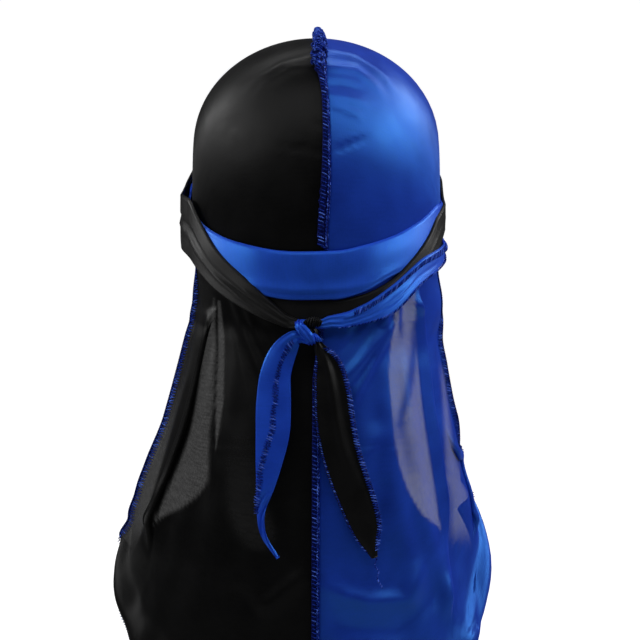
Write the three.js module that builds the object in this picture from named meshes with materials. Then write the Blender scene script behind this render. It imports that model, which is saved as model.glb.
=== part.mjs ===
// A two-tone durag in the form it takes when it is tied: two satin panels sewn along a centre seam,
// each one cut that covers half of the crown and hangs on as half of the cape, an overlocked hem
// along the free edge of each panel, and two long straps that start at the temples, cross at the
// back, cross again over the forehead and are tied at the nape, where their ends hang down.
//
// Millimetres. +Z is up, +Y towards the wearer's face and +X to the wearer's right. The origin is
// the inside of the crown's top, where the durag sits.
import * as THREE from 'three';

// The crown, measured on its inside. The ear line runs through both ears, along X.
const crownHeight = 124; // ear line to the inside of the top
const crownHalfWidth = 77;
const crownBack = 97; // ear line to the back of the crown
const crownFront = 100; // ear line to the forehead
const crownFullness = 2.5; // 2 is an ellipse, more is squarer
const sideWallAtBack = 20; // upright part of the side wall, level with the ears
const sideWallAtTop = 58; // upright part of the side wall, over the ears
const earArch = 20; // radius of the arch that each panel's edge leaves over the ear
const frontHemAngle = 19; // degrees above the ear line at which the front hem crosses the forehead

// The cape, from the ear line down.
const capeLength = 306; // to the middle of the tail
const capeSideLength = 216; // to the corners where the side hems end
const hemCurl = 38; // degrees by which the side hems turn under at the corners
const hemCurlStart = 0.45; // share of the side hem above the curl
const foldHeight = 6;
const foldGrowth = 70; // length over which the gathers open out below the straps
const gatherDrop = 52; // where the gathers start at the middle of the back
const gatherDropAtEdge = 4; // where they start at the side hems

// Cloth, thread and clearances.
const clothWall = 1.2;
const strapWall = 0.9;
const layerClearance = 0.8; // between cloth that lies on cloth
const seamClearance = 0.4; // between each panel and the centre seam
const hemClearance = 0.4; // between a panel's edge and its hem
const seamWidth = 2;
const seamFlap = 8; // tallest stand of the overlocked seam allowance
const seamFlapWall = 4.5; // where it is bunched, on the top of the crown
const flapClearance = 0.8; // under the flap where it leans on the black panel
const seamDrift = 8; // furthest that the seam wanders from the middle plane
const hemRadius = 0.9;

// The knot and the tie ends.
const knotDrop = 50; // ear line to the middle of the knot
const knotSize = 20;
const strandWall = 2.9; // a strap's thickness where it is bunched in the knot
const strandClearance = 1;
const strandTaper = 0.5; // share of its thickness that a strand loses at its edges
const bunchStart = 0.96; // share of a strap's way to the knot at which it starts to bunch
const bunchAtKnot = 0.6; // share of strandWall that it has then reached
const tieLength = 139; // middle of the knot to the tips
const tieWall = 1.2;
const tieLift = 5.5; // how far a tie end hangs off the cape
const blueTieWidth = 21.5;
const blackTieWidth = 24.5;

// How finely the cloth is cut into faces.
const panelColumns = 16;
const crownRows = 16;
const capeRows = 20;
const strapStep = 5.6; // degrees of turn
const strapColumns = 3;
const ringsPerStation = 2;
const arcSamples = 48;
const hemSides = 6;
const slopeStep = 4; // reach over which the form's slope is measured
const surfaceTolerance = 1e-4;

const blackSatin = new THREE.MeshStandardMaterial({ color: 0x101012, roughness: 0.42, metalness: 0 });
const blueSatin = new THREE.MeshStandardMaterial({ color: 0x1632a8, roughness: 0.42, metalness: 0 });
const blueThread = new THREE.MeshStandardMaterial({ color: 0x1a2690, roughness: 0.8, metalness: 0 });

// Down the cape: width of each half as a share of crownHalfWidth, depth of the side hem behind the
// ear line as a share of crownBack, and depth of the middle of the back as a share of crownBack.
const capeSections = [
  { drop: 0, left: 1, right: 1, hem: 0.206, back: 1 },
  { drop: 0.065, left: 0.98, right: 0.98, hem: 0.215, back: 0.944 },
  { drop: 0.13, left: 0.985, right: 1.015, hem: 0.245, back: 0.892 },
  { drop: 0.165, left: 0.997, right: 1.018, hem: 0.27, back: 0.876 },
  { drop: 0.2, left: 1.035, right: 1.01, hem: 0.3, back: 0.887 },
  { drop: 0.26, left: 1.095, right: 1.055, hem: 0.34, back: 0.923 },
  { drop: 0.366, left: 1.21, right: 1.13, hem: 0.41, back: 0.99 },
  { drop: 0.46, left: 1.33, right: 1.17, hem: 0.475, back: 1.036 },
  { drop: 0.56, left: 1.42, right: 1.24, hem: 0.535, back: 1.077 },
  { drop: 0.62, left: 1.49, right: 1.3, hem: 0.565, back: 1.09 },
  { drop: 0.68, left: 1.61, right: 1.42, hem: 0.6, back: 1.105 },
  { drop: 0.72, left: 1.52, right: 1.3, hem: 0.6, back: 1.11 },
  { drop: 1, left: 1.52, right: 1.3, hem: 0.62, back: 1.134 },
];

// Gathers: place is a share of the way from the centre seam to the side hem, width a share of the
// same way and height a share of foldHeight.
const blackFolds = [
  { place: 0.3, width: 0.09, height: 0.2 },
  { place: 0.48, width: 0.07, height: 0.4 },
  { place: 0.66, width: 0.05, height: 0.8 },
  { place: 0.76, width: 0.05, height: -0.5 },
  { place: 0.86, width: 0.05, height: 1 },
];
const blueFolds = [
  { place: 0.22, width: 0.07, height: 0.2 },
  { place: 0.4, width: 0.07, height: 0.55 },
  { place: 0.52, width: 0.05, height: 0.6 },
  { place: 0.68, width: 0.07, height: -0.5 },
  { place: 0.82, width: 0.06, height: 1 },
];

// Along the centre seam, from the front hem (0) over the crown to the ear line (0.5) and on to the
// tail (1): sideways drift as a share of seamDrift, height of the flap as a share of seamFlap,
// thickness of the flap as a share of seamFlapWall, and how many degrees it leans over onto the
// black panel.
const seamRun = [
  { run: 0, drift: 0, height: 0, wall: 0.3, lean: 60 },
  { run: 0.11, drift: 0.02, height: 0, wall: 0.3, lean: 60 },
  { run: 0.16, drift: 0.1, height: 0.7, wall: 0.6, lean: 20 },
  { run: 0.22, drift: 0.25, height: 1, wall: 1, lean: -12 },
  { run: 0.28, drift: 0.42, height: 0.9, wall: 0.9, lean: 20 },
  { run: 0.34, drift: 0.65, height: 0.65, wall: 0.5, lean: 60 },
  { run: 0.38, drift: 0.85, height: 0.6, wall: 0.3, lean: 72 },
  { run: 0.42, drift: 0.95, height: 0.6, wall: 0.3, lean: 78 },
  { run: 0.465, drift: 0.8, height: 0.5, wall: 0.3, lean: 78 },
  { run: 0.485, drift: 0.72, height: 0, wall: 0.3, lean: 78 },
  { run: 0.64, drift: 0.25, height: 0, wall: 0.3, lean: 78 },
  { run: 0.69, drift: 0.1, height: 0.6, wall: 0.3, lean: 78 },
  { run: 1, drift: 0, height: 0.6, wall: 0.3, lean: 78 },
];

// The straps, in degrees round the head from the middle of the back towards the wearer's right.
// Top and foot are the band's edges below the crown's top, as shares of crownHeight. Layer 1 lies
// on the crown, and each further layer on the one below.
const blueStrapRun = [
  { turn: 118, top: 0.74, foot: 0.9, layer: 1 },
  { turn: 90, top: 0.81, foot: 0.98, layer: 1 },
  { turn: 61, top: 0.82, foot: 1.04, layer: 1 },
  { turn: 44, top: 0.89, foot: 1.1, layer: 1 },
  { turn: 30, top: 0.952, foot: 1.158, layer: 1 },
  { turn: 18, top: 0.99, foot: 1.228, layer: 1.5 },
  { turn: 7, top: 1.014, foot: 1.256, layer: 2 },
  { turn: -8, top: 1.018, foot: 1.26, layer: 2 },
  { turn: -30, top: 0.982, foot: 1.22, layer: 2 },
  { turn: -46, top: 0.925, foot: 1.14, layer: 2 },
  { turn: -60, top: 0.85, foot: 1.05, layer: 2 },
  { turn: -90, top: 0.81, foot: 0.98, layer: 2 },
  { turn: -118, top: 0.73, foot: 0.89, layer: 2 },
  { turn: -132, top: 0.66, foot: 0.82, layer: 1.5 },
  { turn: -147, top: 0.575, foot: 0.73, layer: 1 },
  { turn: -165, top: 0.543, foot: 0.698, layer: 1 },
  { turn: -195, top: 0.543, foot: 0.698, layer: 1 },
  { turn: -213, top: 0.635, foot: 0.785, layer: 1.3 },
  { turn: -228, top: 0.77, foot: 0.89, layer: 2 },
  { turn: -242, top: 0.88, foot: 0.985, layer: 2 },
  { turn: -270, top: 0.99, foot: 1.07, layer: 2 },
  { turn: -282, top: 0.995, foot: 1.075, layer: 2 },
  { turn: -292, top: 1, foot: 1.085, layer: 3 },
  { turn: -315, top: 1.065, foot: 1.2, layer: 3 },
  { turn: -331, top: 1.19, foot: 1.327, layer: 3 },
  { turn: -342, top: 1.268, foot: 1.38, layer: 3 },
  { turn: -351, top: 1.335, foot: 1.4, layer: 3 },
];
const blackStrapRun = [
  { turn: -118, top: 0.74, foot: 0.9, layer: 1 },
  { turn: -90, top: 0.82, foot: 1, layer: 1 },
  { turn: -60, top: 0.9, foot: 1.13, layer: 1 },
  { turn: -35, top: 1.05, foot: 1.266, layer: 1 },
  { turn: -15, top: 1.18, foot: 1.35, layer: 1 },
  { turn: -3, top: 1.238, foot: 1.388, layer: 1 },
  { turn: 7, top: 1.266, foot: 1.392, layer: 1 },
  { turn: 18, top: 1.238, foot: 1.37, layer: 1.5 },
  { turn: 30, top: 1.168, foot: 1.31, layer: 2 },
  { turn: 40, top: 1.06, foot: 1.225, layer: 2 },
  { turn: 49, top: 0.965, foot: 1.15, layer: 2 },
  { turn: 57, top: 0.875, foot: 1.06, layer: 2 },
  { turn: 70, top: 0.82, foot: 0.97, layer: 2 },
  { turn: 90, top: 0.8, foot: 0.95, layer: 2 },
  { turn: 118, top: 0.69, foot: 0.84, layer: 2 },
  { turn: 132, top: 0.57, foot: 0.725, layer: 1.5 },
  { turn: 147, top: 0.445, foot: 0.6, layer: 1 },
  { turn: 165, top: 0.375, foot: 0.53, layer: 1 },
  { turn: 195, top: 0.375, foot: 0.53, layer: 1 },
  { turn: 213, top: 0.4, foot: 0.555, layer: 2 },
  { turn: 228, top: 0.54, foot: 0.71, layer: 3 },
  { turn: 242, top: 0.69, foot: 0.88, layer: 3 },
  { turn: 258, top: 0.77, foot: 0.98, layer: 4.5 },
  { turn: 286, top: 0.775, foot: 1.05, layer: 4.5 },
  { turn: 300, top: 0.79, foot: 1.1, layer: 3 },
  { turn: 309, top: 0.875, foot: 1.165, layer: 3 },
  { turn: 320, top: 1.01, foot: 1.245, layer: 3 },
  { turn: 332, top: 1.14, foot: 1.32, layer: 3 },
  { turn: 343, top: 1.265, foot: 1.38, layer: 3 },
  { turn: 351, top: 1.34, foot: 1.412, layer: 3 },
];

// The strands in the knot: x, rise and width are shares of knotSize, storey counts strands up from
// the cape, and face is the way that the strap's outer face looks, in degrees from outwards to down.
const blueKnotRun = [
  { x: 0.45, rise: 0.25, storey: 0, face: 0, width: 0.34 },
  { x: 0.15, rise: 0.3, storey: 0, face: 0, width: 0.28 },
  { x: -0.25, rise: 0.4, storey: 0.05, face: 20, width: 0.22 },
  { x: -0.5, rise: 0.44, storey: 1, face: 90, width: 0.22 },
  { x: -0.43, rise: 0.32, storey: 1.95, face: 150, width: 0.32 },
  { x: -0.14, rise: 0.05, storey: 2.1, face: 180, width: 0.42 },
  { x: 0.2, rise: -0.18, storey: 1.95, face: 210, width: 0.32 },
  { x: 0.36, rise: -0.27, storey: 1, face: 270, width: 0.2 },
  { x: 0.05, rise: -0.28, storey: 0, face: 345, width: 0.2 },
  { x: -0.35, rise: -0.22, storey: 0.1, face: 360, width: 0.3 },
  { x: -0.62, rise: -0.3, storey: 0.4, face: 360, width: 0.45 },
];
const blackKnotRun = [
  { x: -0.6, rise: 0.13, storey: 0.85, face: 0, width: 0.28 },
  { x: -0.32, rise: 0.08, storey: 1, face: 0, width: 0.24 },
  { x: -0.1, rise: -0.08, storey: 1, face: 0, width: 0.24 },
  { x: -0.01, rise: -0.33, storey: 1.05, face: 0, width: 0.22 },
  { x: 0.12, rise: -0.6, storey: 1.1, face: 0, width: 0.3 },
];

// The tie ends: drop and x are shares of tieLength, width a share of the end's own full width.
const blueTieRun = [
  { drop: 0.1, x: -0.138, width: 0.76 },
  { drop: 0.2, x: -0.177, width: 0.87 },
  { drop: 0.32, x: -0.186, width: 1 },
  { drop: 0.45, x: -0.19, width: 1 },
  { drop: 0.58, x: -0.206, width: 0.78 },
  { drop: 0.7, x: -0.224, width: 0.5 },
  { drop: 0.8, x: -0.242, width: 0.22 },
  { drop: 0.9, x: -0.23, width: 0.16 },
  { drop: 1, x: -0.166, width: 0.09 },
];
const blackTieRun = [
  { drop: 0.16, x: 0.053, width: 0.69 },
  { drop: 0.26, x: 0.07, width: 0.9 },
  { drop: 0.4, x: 0.083, width: 1 },
  { drop: 0.52, x: 0.104, width: 0.98 },
  { drop: 0.64, x: 0.14, width: 0.98 },
  { drop: 0.75, x: 0.18, width: 0.94 },
  { drop: 0.85, x: 0.214, width: 0.84 },
  { drop: 0.92, x: 0.23, width: 0.6 },
  { drop: 1, x: 0.257, width: 0.1 },
];

const { degToRad, smoothstep, lerp, clamp } = THREE.MathUtils;

// A smooth curve through a table's rows, read at any place between them.
function readTable(table, key, place, column) {
  const forwards = table[table.length - 1][key] > table[0][key] ? 1 : -1;
  let i = 0;
  while (i < table.length - 2 && forwards * (place - table[i + 1][key]) > 0) i += 1;
  const slope = (a, b) => (table[b][column] - table[a][column]) / (table[b][key] - table[a][key]);
  const span = table[i + 1][key] - table[i][key];
  const share = clamp((place - table[i][key]) / span, 0, 1);
  const middle = slope(i, i + 1);
  const flatten = (a, b) => (a * b > 0 ? (2 * a * b) / (a + b) : 0);
  const start = i > 0 ? flatten(slope(i - 1, i), middle) : 0;
  const end = i < table.length - 2 ? flatten(middle, slope(i + 1, i + 2)) : 0;
  const s2 = share * share;
  const s3 = s2 * share;
  return (
    (2 * s3 - 3 * s2 + 1) * table[i][column] +
    (s3 - 2 * s2 + share) * span * start +
    (3 * s2 - 2 * s3) * table[i + 1][column] +
    (s3 - s2) * span * end
  );
}

// How far the crown reaches from the ear line at an angle, 0 forwards, 90 up and 180 to the back.
function crownReach(angle) {
  const across = Math.cos(degToRad(angle));
  const up = Math.sin(degToRad(angle));
  const depth = across > 0 ? crownFront : crownBack;
  const sum = Math.abs(across / depth) ** crownFullness + Math.abs(up / crownHeight) ** crownFullness;
  return sum ** (-1 / crownFullness);
}

const sideWall = (angle) => lerp(sideWallAtBack, sideWallAtTop, Math.sin(degToRad(angle)) ** 2);

// The cape's sizes at a drop below the ear line.
function capeSection(drop) {
  const read = (column) => readTable(capeSections, 'drop', clamp(drop / capeLength, 0, 1), column);
  return {
    left: read('left') * crownHalfWidth,
    right: read('right') * crownHalfWidth,
    hem: read('hem') * crownBack,
    back: read('back') * crownBack,
  };
}

// Below 1 inside the form that the crown and the cape's top are pulled over, above 1 outside it.
function formLevel(x, y, z) {
  const drop = -crownHeight - z;
  let wide;
  let deep;
  if (drop < 0) {
    const angle = THREE.MathUtils.radToDeg(Math.atan2(-drop, y));
    const upright = sideWall(angle);
    wide = x / crownHalfWidth;
    deep = Math.max(0, Math.hypot(y, drop) - upright) / (crownReach(angle) - upright);
  } else {
    const section = capeSection(drop);
    wide = x / (x < 0 ? section.left : section.right);
    deep = Math.max(0, Math.abs(y) - section.hem) / (section.back - section.hem);
  }
  return Math.hypot(wide, deep);
}

// The point of that form at a turn round the head and a height, lifted off it.
function formPoint(turn, z, lift) {
  const ray = new THREE.Vector3(Math.sin(degToRad(turn)), -Math.cos(degToRad(turn)), 0);
  let near = 0;
  let far = 2 * crownFront;
  while (far - near > surfaceTolerance) {
    const half = (near + far) / 2;
    if (formLevel(ray.x * half, ray.y * half, z) < 1) near = half;
    else far = half;
  }
  const point = ray.multiplyScalar(near).setZ(z);
  const level = (dx, dy, dz) => formLevel(point.x + dx, point.y + dy, point.z + dz);
  const s = slopeStep;
  const normal = new THREE.Vector3(
    level(s, 0, 0) - level(-s, 0, 0),
    level(0, s, 0) - level(0, -s, 0),
    level(0, 0, s) - level(0, 0, -s),
  ).normalize();
  return point.addScaledVector(normal, lift);
}

// A closed solid through rings of points. Each ring runs along one face of the cloth and back along
// the other.
function solidFromRings(rings) {
  const around = rings[0].length;
  const positions = rings.flat().flatMap((p) => [p.x, p.y, p.z]);
  const faces = [];
  const quad = (a, b, c, d) => faces.push(a, b, c, a, c, d);
  for (let r = 0; r < rings.length - 1; r += 1) {
    for (let k = 0; k < around; k += 1) {
      const next = (k + 1) % around;
      quad(r * around + k, r * around + next, (r + 1) * around + next, (r + 1) * around + k);
    }
  }
  const last = (rings.length - 1) * around;
  for (let k = 0; k < around / 2 - 1; k += 1) {
    const across = around - 1 - k;
    quad(k, across, across - 1, k + 1);
    quad(last + k, last + k + 1, last + across - 1, last + across);
  }
  let volume = 0;
  const corner = (i) => new THREE.Vector3().fromArray(positions, 3 * faces[i]);
  for (let i = 0; i < faces.length; i += 3) volume += corner(i).dot(corner(i + 1).cross(corner(i + 2)));
  if (volume < 0) faces.reverse();
  const geometry = new THREE.BufferGeometry();
  geometry.setAttribute('position', new THREE.Float32BufferAttribute(positions, 3));
  geometry.setIndex(faces);
  geometry.computeVertexNormals();
  return geometry;
}

// Where a row crosses the panels: the crown's rows turn about the ear line, the cape's are level at
// the top and sag towards the tail. Side is 1 for the right panel and -1 for the left.
function rowPoint(row, swing, side) {
  const wide = Math.sin(swing);
  const deep = Math.cos(swing);
  if (row <= crownRows) {
    const angle = lerp(frontHemAngle, 180, row / crownRows);
    const upright = sideWall(angle);
    const reach = upright + (crownReach(angle) - upright) * deep;
    const y = reach * Math.cos(degToRad(angle));
    const z = reach * Math.sin(degToRad(angle)) - crownHeight;
    return new THREE.Vector3(side * crownHalfWidth * wide, y, z);
  }
  const share = (row - crownRows) / capeRows;
  const sag = smoothstep(share, 0.3, 1) * (capeLength - capeSideLength) * deep;
  const drop = share * capeSideLength + sag;
  const edge = capeSection(share * capeSideLength);
  const halfWidth = side > 0 ? edge.right : edge.left;
  const depth = edge.hem + (capeSection(drop).back - edge.hem) * deep;
  return new THREE.Vector3(side * halfWidth * wide, -depth, -crownHeight - drop);
}

function readSeam(row, column) {
  const run = row <= crownRows ? row / crownRows : 1 + (row - crownRows) / capeRows;
  return readTable(seamRun, 'run', run / 2, column);
}

// How far round the row's arc its place at sideways distance x lies.
function swingAt(row, x, side) {
  const halfWidth = Math.abs(rowPoint(row, Math.PI / 2, side).x);
  return Math.asin(clamp((side * x) / halfWidth, -1, 1));
}

// The side hem curls forwards, past the cape's widest place, towards the tail.
function lastSwing(row) {
  const share = Math.max(0, row - crownRows) / capeRows;
  return Math.PI / 2 + degToRad(hemCurl) * smoothstep(share, hemCurlStart, 1);
}

// One row of a panel's inner face, from the seam to the hem, evenly spaced.
function panelRow(row, side) {
  const seamEdge = seamDrift * readSeam(row, 'drift') + side * (seamWidth / 2 + seamClearance);
  const start = swingAt(row, seamEdge, side);
  const end = lastSwing(row);
  const line = [];
  for (let i = 0; i <= arcSamples; i += 1) line.push(rowPoint(row, lerp(start, end, i / arcSamples), side));
  if (row <= crownRows) {
    const { x } = line[line.length - 1];
    const angle = degToRad(lerp(frontHemAngle, 180, row / crownRows));
    line.push(new THREE.Vector3(x, earArch * Math.cos(angle), earArch * Math.sin(angle) - crownHeight));
  }
  const curve = new THREE.CurvePath();
  for (let i = 1; i < line.length; i += 1) {
    if (line[i].distanceTo(line[i - 1]) > 1e-6) curve.add(new THREE.LineCurve3(line[i - 1], line[i]));
  }
  return Array.from({ length: panelColumns + 1 }, (_, column) => curve.getPointAt(column / panelColumns));
}

// How far the gathers stand off the cape at a share of the way across and a drop below the ear line.
function gatherLift(folds, share, drop) {
  const start = lerp(gatherDropAtEdge, gatherDrop, 1 - share ** 3);
  const opened = smoothstep(drop - start, 0, foldGrowth);
  const hump = ({ place, width, height }) => height * Math.exp(-(((share - place) / width) ** 2));
  return foldHeight * opened * folds.reduce((sum, fold) => sum + hump(fold), 0);
}

// A row with its gathers, which stand off it along its own outward way.
function gather(points, folds) {
  return points.map((point, column) => {
    const before = points[Math.max(column - 1, 0)];
    const after = points[Math.min(column + 1, panelColumns)];
    const out = new THREE.Vector3(after.y - before.y, before.x - after.x, 0).normalize();
    if (out.dot(point) < 0) out.negate();
    const drop = -crownHeight - point.z;
    return point.clone().addScaledVector(out, gatherLift(folds, column / panelColumns, drop));
  });
}

// The inner face of a panel with its outward normals: rows[row][column] = { point, normal }.
function panelFace(side, folds) {
  const rows = [];
  for (let row = 0; row <= crownRows + capeRows; row += 1) rows.push(gather(panelRow(row, side), folds));
  const lastRow = rows.length - 1;
  return rows.map((points, row) =>
    points.map((point, column) => {
      const along = rows[Math.min(row + 1, lastRow)][column].clone().sub(rows[Math.max(row - 1, 0)][column]);
      const across = points[Math.min(column + 1, panelColumns)].clone().sub(points[Math.max(column - 1, 0)]);
      const normal = along.cross(across).normalize().multiplyScalar(side);
      return { point, normal };
    }),
  );
}

const lifted = ({ point, normal }, lift) => point.clone().addScaledVector(normal, lift);

function makePanel(face) {
  return solidFromRings(
    face.map((row) => [...row.map((p) => lifted(p, 0)), ...row.map((p) => lifted(p, clothWall)).reverse()]),
  );
}

// The overlocked bead along a panel's free edge: front hem, ear arch, side hem and tail.
function makeHem(face, side) {
  const lastRow = face.length - 1;
  const rim = [];
  for (let column = 0; column <= panelColumns; column += 1) rim.push(face[0][column]);
  for (let row = 1; row <= lastRow; row += 1) rim.push(face[row][panelColumns]);
  for (let column = panelColumns - 1; column >= 0; column -= 1) rim.push(face[lastRow][column]);
  const centres = rim.map((p) => lifted(p, clothWall / 2));
  const outOf = (i) => {
    const along = centres[i + 1].clone().sub(centres[i]);
    return along.cross(rim[i].normal).normalize().multiplyScalar(-side);
  };
  const outs = rim.map((_, i) => {
    const before = outOf(Math.max(i - 1, 0));
    const after = outOf(Math.min(i, rim.length - 2));
    return before.clone().add(after).divideScalar(1 + before.dot(after));
  });
  return solidFromRings(
    rim.map(({ normal }, i) => {
      const out = outs[i];
      const middle = centres[i].clone().addScaledVector(out, hemClearance + hemRadius);
      return Array.from({ length: hemSides }, (_, k) => {
        const angle = (2 * Math.PI * (k + 0.5)) / hemSides;
        return middle
          .clone()
          .addScaledVector(normal, hemRadius * Math.cos(angle))
          .addScaledVector(out, hemRadius * Math.sin(angle));
      });
    }),
  );
}

// The centre seam fills the slot between the panels, and its flap stands or leans on the black one.
function makeSeam() {
  const rings = [];
  for (let row = 0; row <= crownRows + capeRows; row += 1) {
    const at = (r) => rowPoint(r, swingAt(r, seamDrift * readSeam(r, 'drift'), 1), 1);
    const point = at(row);
    const along = at(Math.min(row + 1, crownRows + capeRows)).sub(at(Math.max(row - 1, 0)));
    const right = new THREE.Vector3(1, 0, 0);
    const normal = along.clone().cross(right).normalize();
    const place = (x, up) => point.clone().addScaledVector(right, x).addScaledVector(normal, up);
    const height = seamFlap * Math.max(0, readSeam(row, 'height'));
    const lean = degToRad(readSeam(row, 'lean'));
    const flapWall = Math.min(seamFlapWall * readSeam(row, 'wall'), height);
    const root = clothWall + Math.min(flapClearance, height);
    const tipX = -height * Math.sin(lean);
    const tipUp = height * Math.cos(lean);
    const wallX = flapWall * Math.cos(lean);
    const wallUp = flapWall * Math.sin(lean);
    rings.push([
      place(-seamWidth / 2, 0),
      place(-seamWidth / 2, root),
      place(-seamWidth / 2 + tipX, root + tipUp),
      place(-seamWidth / 2 + tipX + wallX, root + tipUp + wallUp),
      place(seamWidth / 2, root + wallUp),
      place(seamWidth / 2, 0),
    ]);
  }
  return solidFromRings(rings);
}

const layerLift = (layer) => clothWall + layerClearance + (layer - 1) * (strapWall + layerClearance);

// One ring of a strap where it lies on the head, across the band from edge to edge.
function bandRing(turn, fromZ, toZ, lift, wall) {
  const heights = Array.from({ length: strapColumns + 1 }, (_, k) => lerp(fromZ, toZ, k / strapColumns));
  return [
    ...heights.map((z) => formPoint(turn, z, lift)),
    ...heights.map((z) => formPoint(turn, z, lift + wall)).reverse(),
  ];
}

// A strap's two turns round the head, from its root at the temple to the knot.
function bandRings(run) {
  const first = run[0].turn;
  const last = run[run.length - 1].turn;
  const steps = Math.round(Math.abs(last - first) / strapStep);
  const rings = [];
  for (let i = 0; i <= steps; i += 1) {
    const turn = lerp(first, last, i / steps);
    const top = -crownHeight * readTable(run, 'turn', turn, 'top');
    const foot = -crownHeight * readTable(run, 'turn', turn, 'foot');
    const lift = layerLift(readTable(run, 'turn', turn, 'layer'));
    const wall = lerp(strapWall, strandWall * bunchAtKnot, smoothstep(i / steps, bunchStart, 1));
    rings.push(last > first ? bandRing(turn, foot, top, lift, wall) : bandRing(turn, top, foot, lift, wall));
  }
  return rings;
}

// The point behind the knot and the ties on the cape's outer face, lifted off it.
function onCape(x, z, lift) {
  const section = capeSection(-crownHeight - z);
  const halfWidth = x < 0 ? section.left : section.right;
  const deep = Math.sqrt(1 - (x / halfWidth) ** 2);
  return new THREE.Vector3(x, -(section.hem + (section.back - section.hem) * deep) - clothWall - lift, z);
}

// One ring of a strap where it is bunched in the knot or hangs free: a lens, thinner at its edges.
function strandRing(centre, heading, outward, width, wall) {
  const across = outward.clone().cross(heading).normalize();
  const normal = heading.clone().cross(across).normalize();
  const shares = Array.from({ length: strapColumns + 1 }, (_, k) => k / strapColumns - 0.5);
  const place = (share, side) => {
    const thickness = wall * (1 - strandTaper * (2 * share) ** 2);
    return centre
      .clone()
      .addScaledVector(across, share * width)
      .addScaledVector(normal, (side * thickness) / 2);
  };
  return [...shares.map((s) => place(s, -1)), ...shares.map((s) => place(s, 1)).reverse()];
}

// A strap's way through the knot and down its tie end.
function strandRings(knotRun, tieRun, tieWidth) {
  const knotZ = -crownHeight - knotDrop;
  const knotLift = layerLift(2) - clothWall + strandWall / 2;
  const storeyLift = strandWall + strandClearance;
  const knotStations = knotRun.map(({ x, rise, storey, face, width }) => ({
    centre: onCape(x * knotSize, knotZ + rise * knotSize, knotLift + storey * storeyLift),
    face: degToRad(face),
    width: width * knotSize,
    wall: strandWall,
  }));
  const tieFace = knotStations[knotStations.length - 1].face;
  const tieStations = tieRun.map(({ drop, x, width }) => ({
    centre: onCape(x * tieLength, knotZ - drop * tieLength, tieLift),
    face: tieFace,
    width: width * tieWidth,
    wall: tieWall,
  }));
  const stations = [...knotStations, ...tieStations];
  const path = new THREE.CatmullRomCurve3(stations.map((s) => s.centre));
  const steps = (stations.length - 1) * ringsPerStation;
  const rings = [];
  for (let i = 0; i <= steps; i += 1) {
    const here = stations[Math.floor(i / ringsPerStation)];
    const next = stations[Math.ceil(i / ringsPerStation)];
    const share = (i % ringsPerStation) / ringsPerStation;
    const face = lerp(here.face, next.face, share);
    const outward = new THREE.Vector3(0, -Math.cos(face), -Math.sin(face));
    const width = lerp(here.width, next.width, share);
    const wall = lerp(here.wall, next.wall, share);
    rings.push(strandRing(path.getPoint(i / steps), path.getTangent(i / steps), outward, width, wall));
  }
  return rings;
}

const makeStrap = (run, knotRun, tieRun, tieWidth) =>
  solidFromRings([...bandRings(run), ...strandRings(knotRun, tieRun, tieWidth)]);

const durag = new THREE.Group();

function addPiece(name, geometry, material) {
  const piece = new THREE.Mesh(geometry, material);
  piece.name = name;
  durag.add(piece);
}

const leftFace = panelFace(-1, blackFolds);
const rightFace = panelFace(1, blueFolds);
addPiece('left_panel', makePanel(leftFace), blackSatin);
addPiece('right_panel', makePanel(rightFace), blueSatin);
addPiece('centre_seam', makeSeam(), blueThread);
addPiece('left_hem', makeHem(leftFace, -1), blueThread);
addPiece('right_hem', makeHem(rightFace, 1), blueThread);
addPiece('black_strap', makeStrap(blackStrapRun, blackKnotRun, blackTieRun, blackTieWidth), blackSatin);
addPiece('blue_strap', makeStrap(blueStrapRun, blueKnotRun, blueTieRun, blueTieWidth), blueSatin);

export default durag;
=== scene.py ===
import math

import bpy
import mathutils
import numpy as np
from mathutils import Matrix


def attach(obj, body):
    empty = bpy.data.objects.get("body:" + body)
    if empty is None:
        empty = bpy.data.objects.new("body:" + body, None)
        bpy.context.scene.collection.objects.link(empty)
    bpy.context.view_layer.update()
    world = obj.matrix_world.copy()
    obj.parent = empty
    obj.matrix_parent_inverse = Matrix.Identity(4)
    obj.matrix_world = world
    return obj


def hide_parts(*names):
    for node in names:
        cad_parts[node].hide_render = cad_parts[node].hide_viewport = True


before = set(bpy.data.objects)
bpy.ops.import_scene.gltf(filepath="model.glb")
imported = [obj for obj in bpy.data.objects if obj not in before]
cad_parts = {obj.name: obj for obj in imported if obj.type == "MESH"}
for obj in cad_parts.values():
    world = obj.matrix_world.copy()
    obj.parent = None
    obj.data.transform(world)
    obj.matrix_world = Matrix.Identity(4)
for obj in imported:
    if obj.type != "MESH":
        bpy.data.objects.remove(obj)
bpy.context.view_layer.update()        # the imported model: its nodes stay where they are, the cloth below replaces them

bpy.ops.object.select_all(action="DESELECT")
mm = 0.001

# camera

cameraSettings = {
    "aim": (2.4, 0.0, -178.8),   # millimetres
    "distance": 2000.0,
    "elevation": 6.0,
    "lens": 175.8,
}


def makeCamera(s):
    tilt = math.radians(s["elevation"])
    x, y, z = s["aim"]
    spot = (x * mm, (y - s["distance"] * math.cos(tilt)) * mm, (z + s["distance"] * math.sin(tilt)) * mm)
    bpy.ops.object.camera_add(location=spot, rotation=(math.pi / 2 - tilt, 0, 0))
    camera = bpy.context.object
    camera.data.lens = s["lens"]
    camera.data.clip_end = 2000
    bpy.context.scene.camera = camera


makeCamera(cameraSettings)
print("camera made")

# the form that the cloth is tied over

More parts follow.
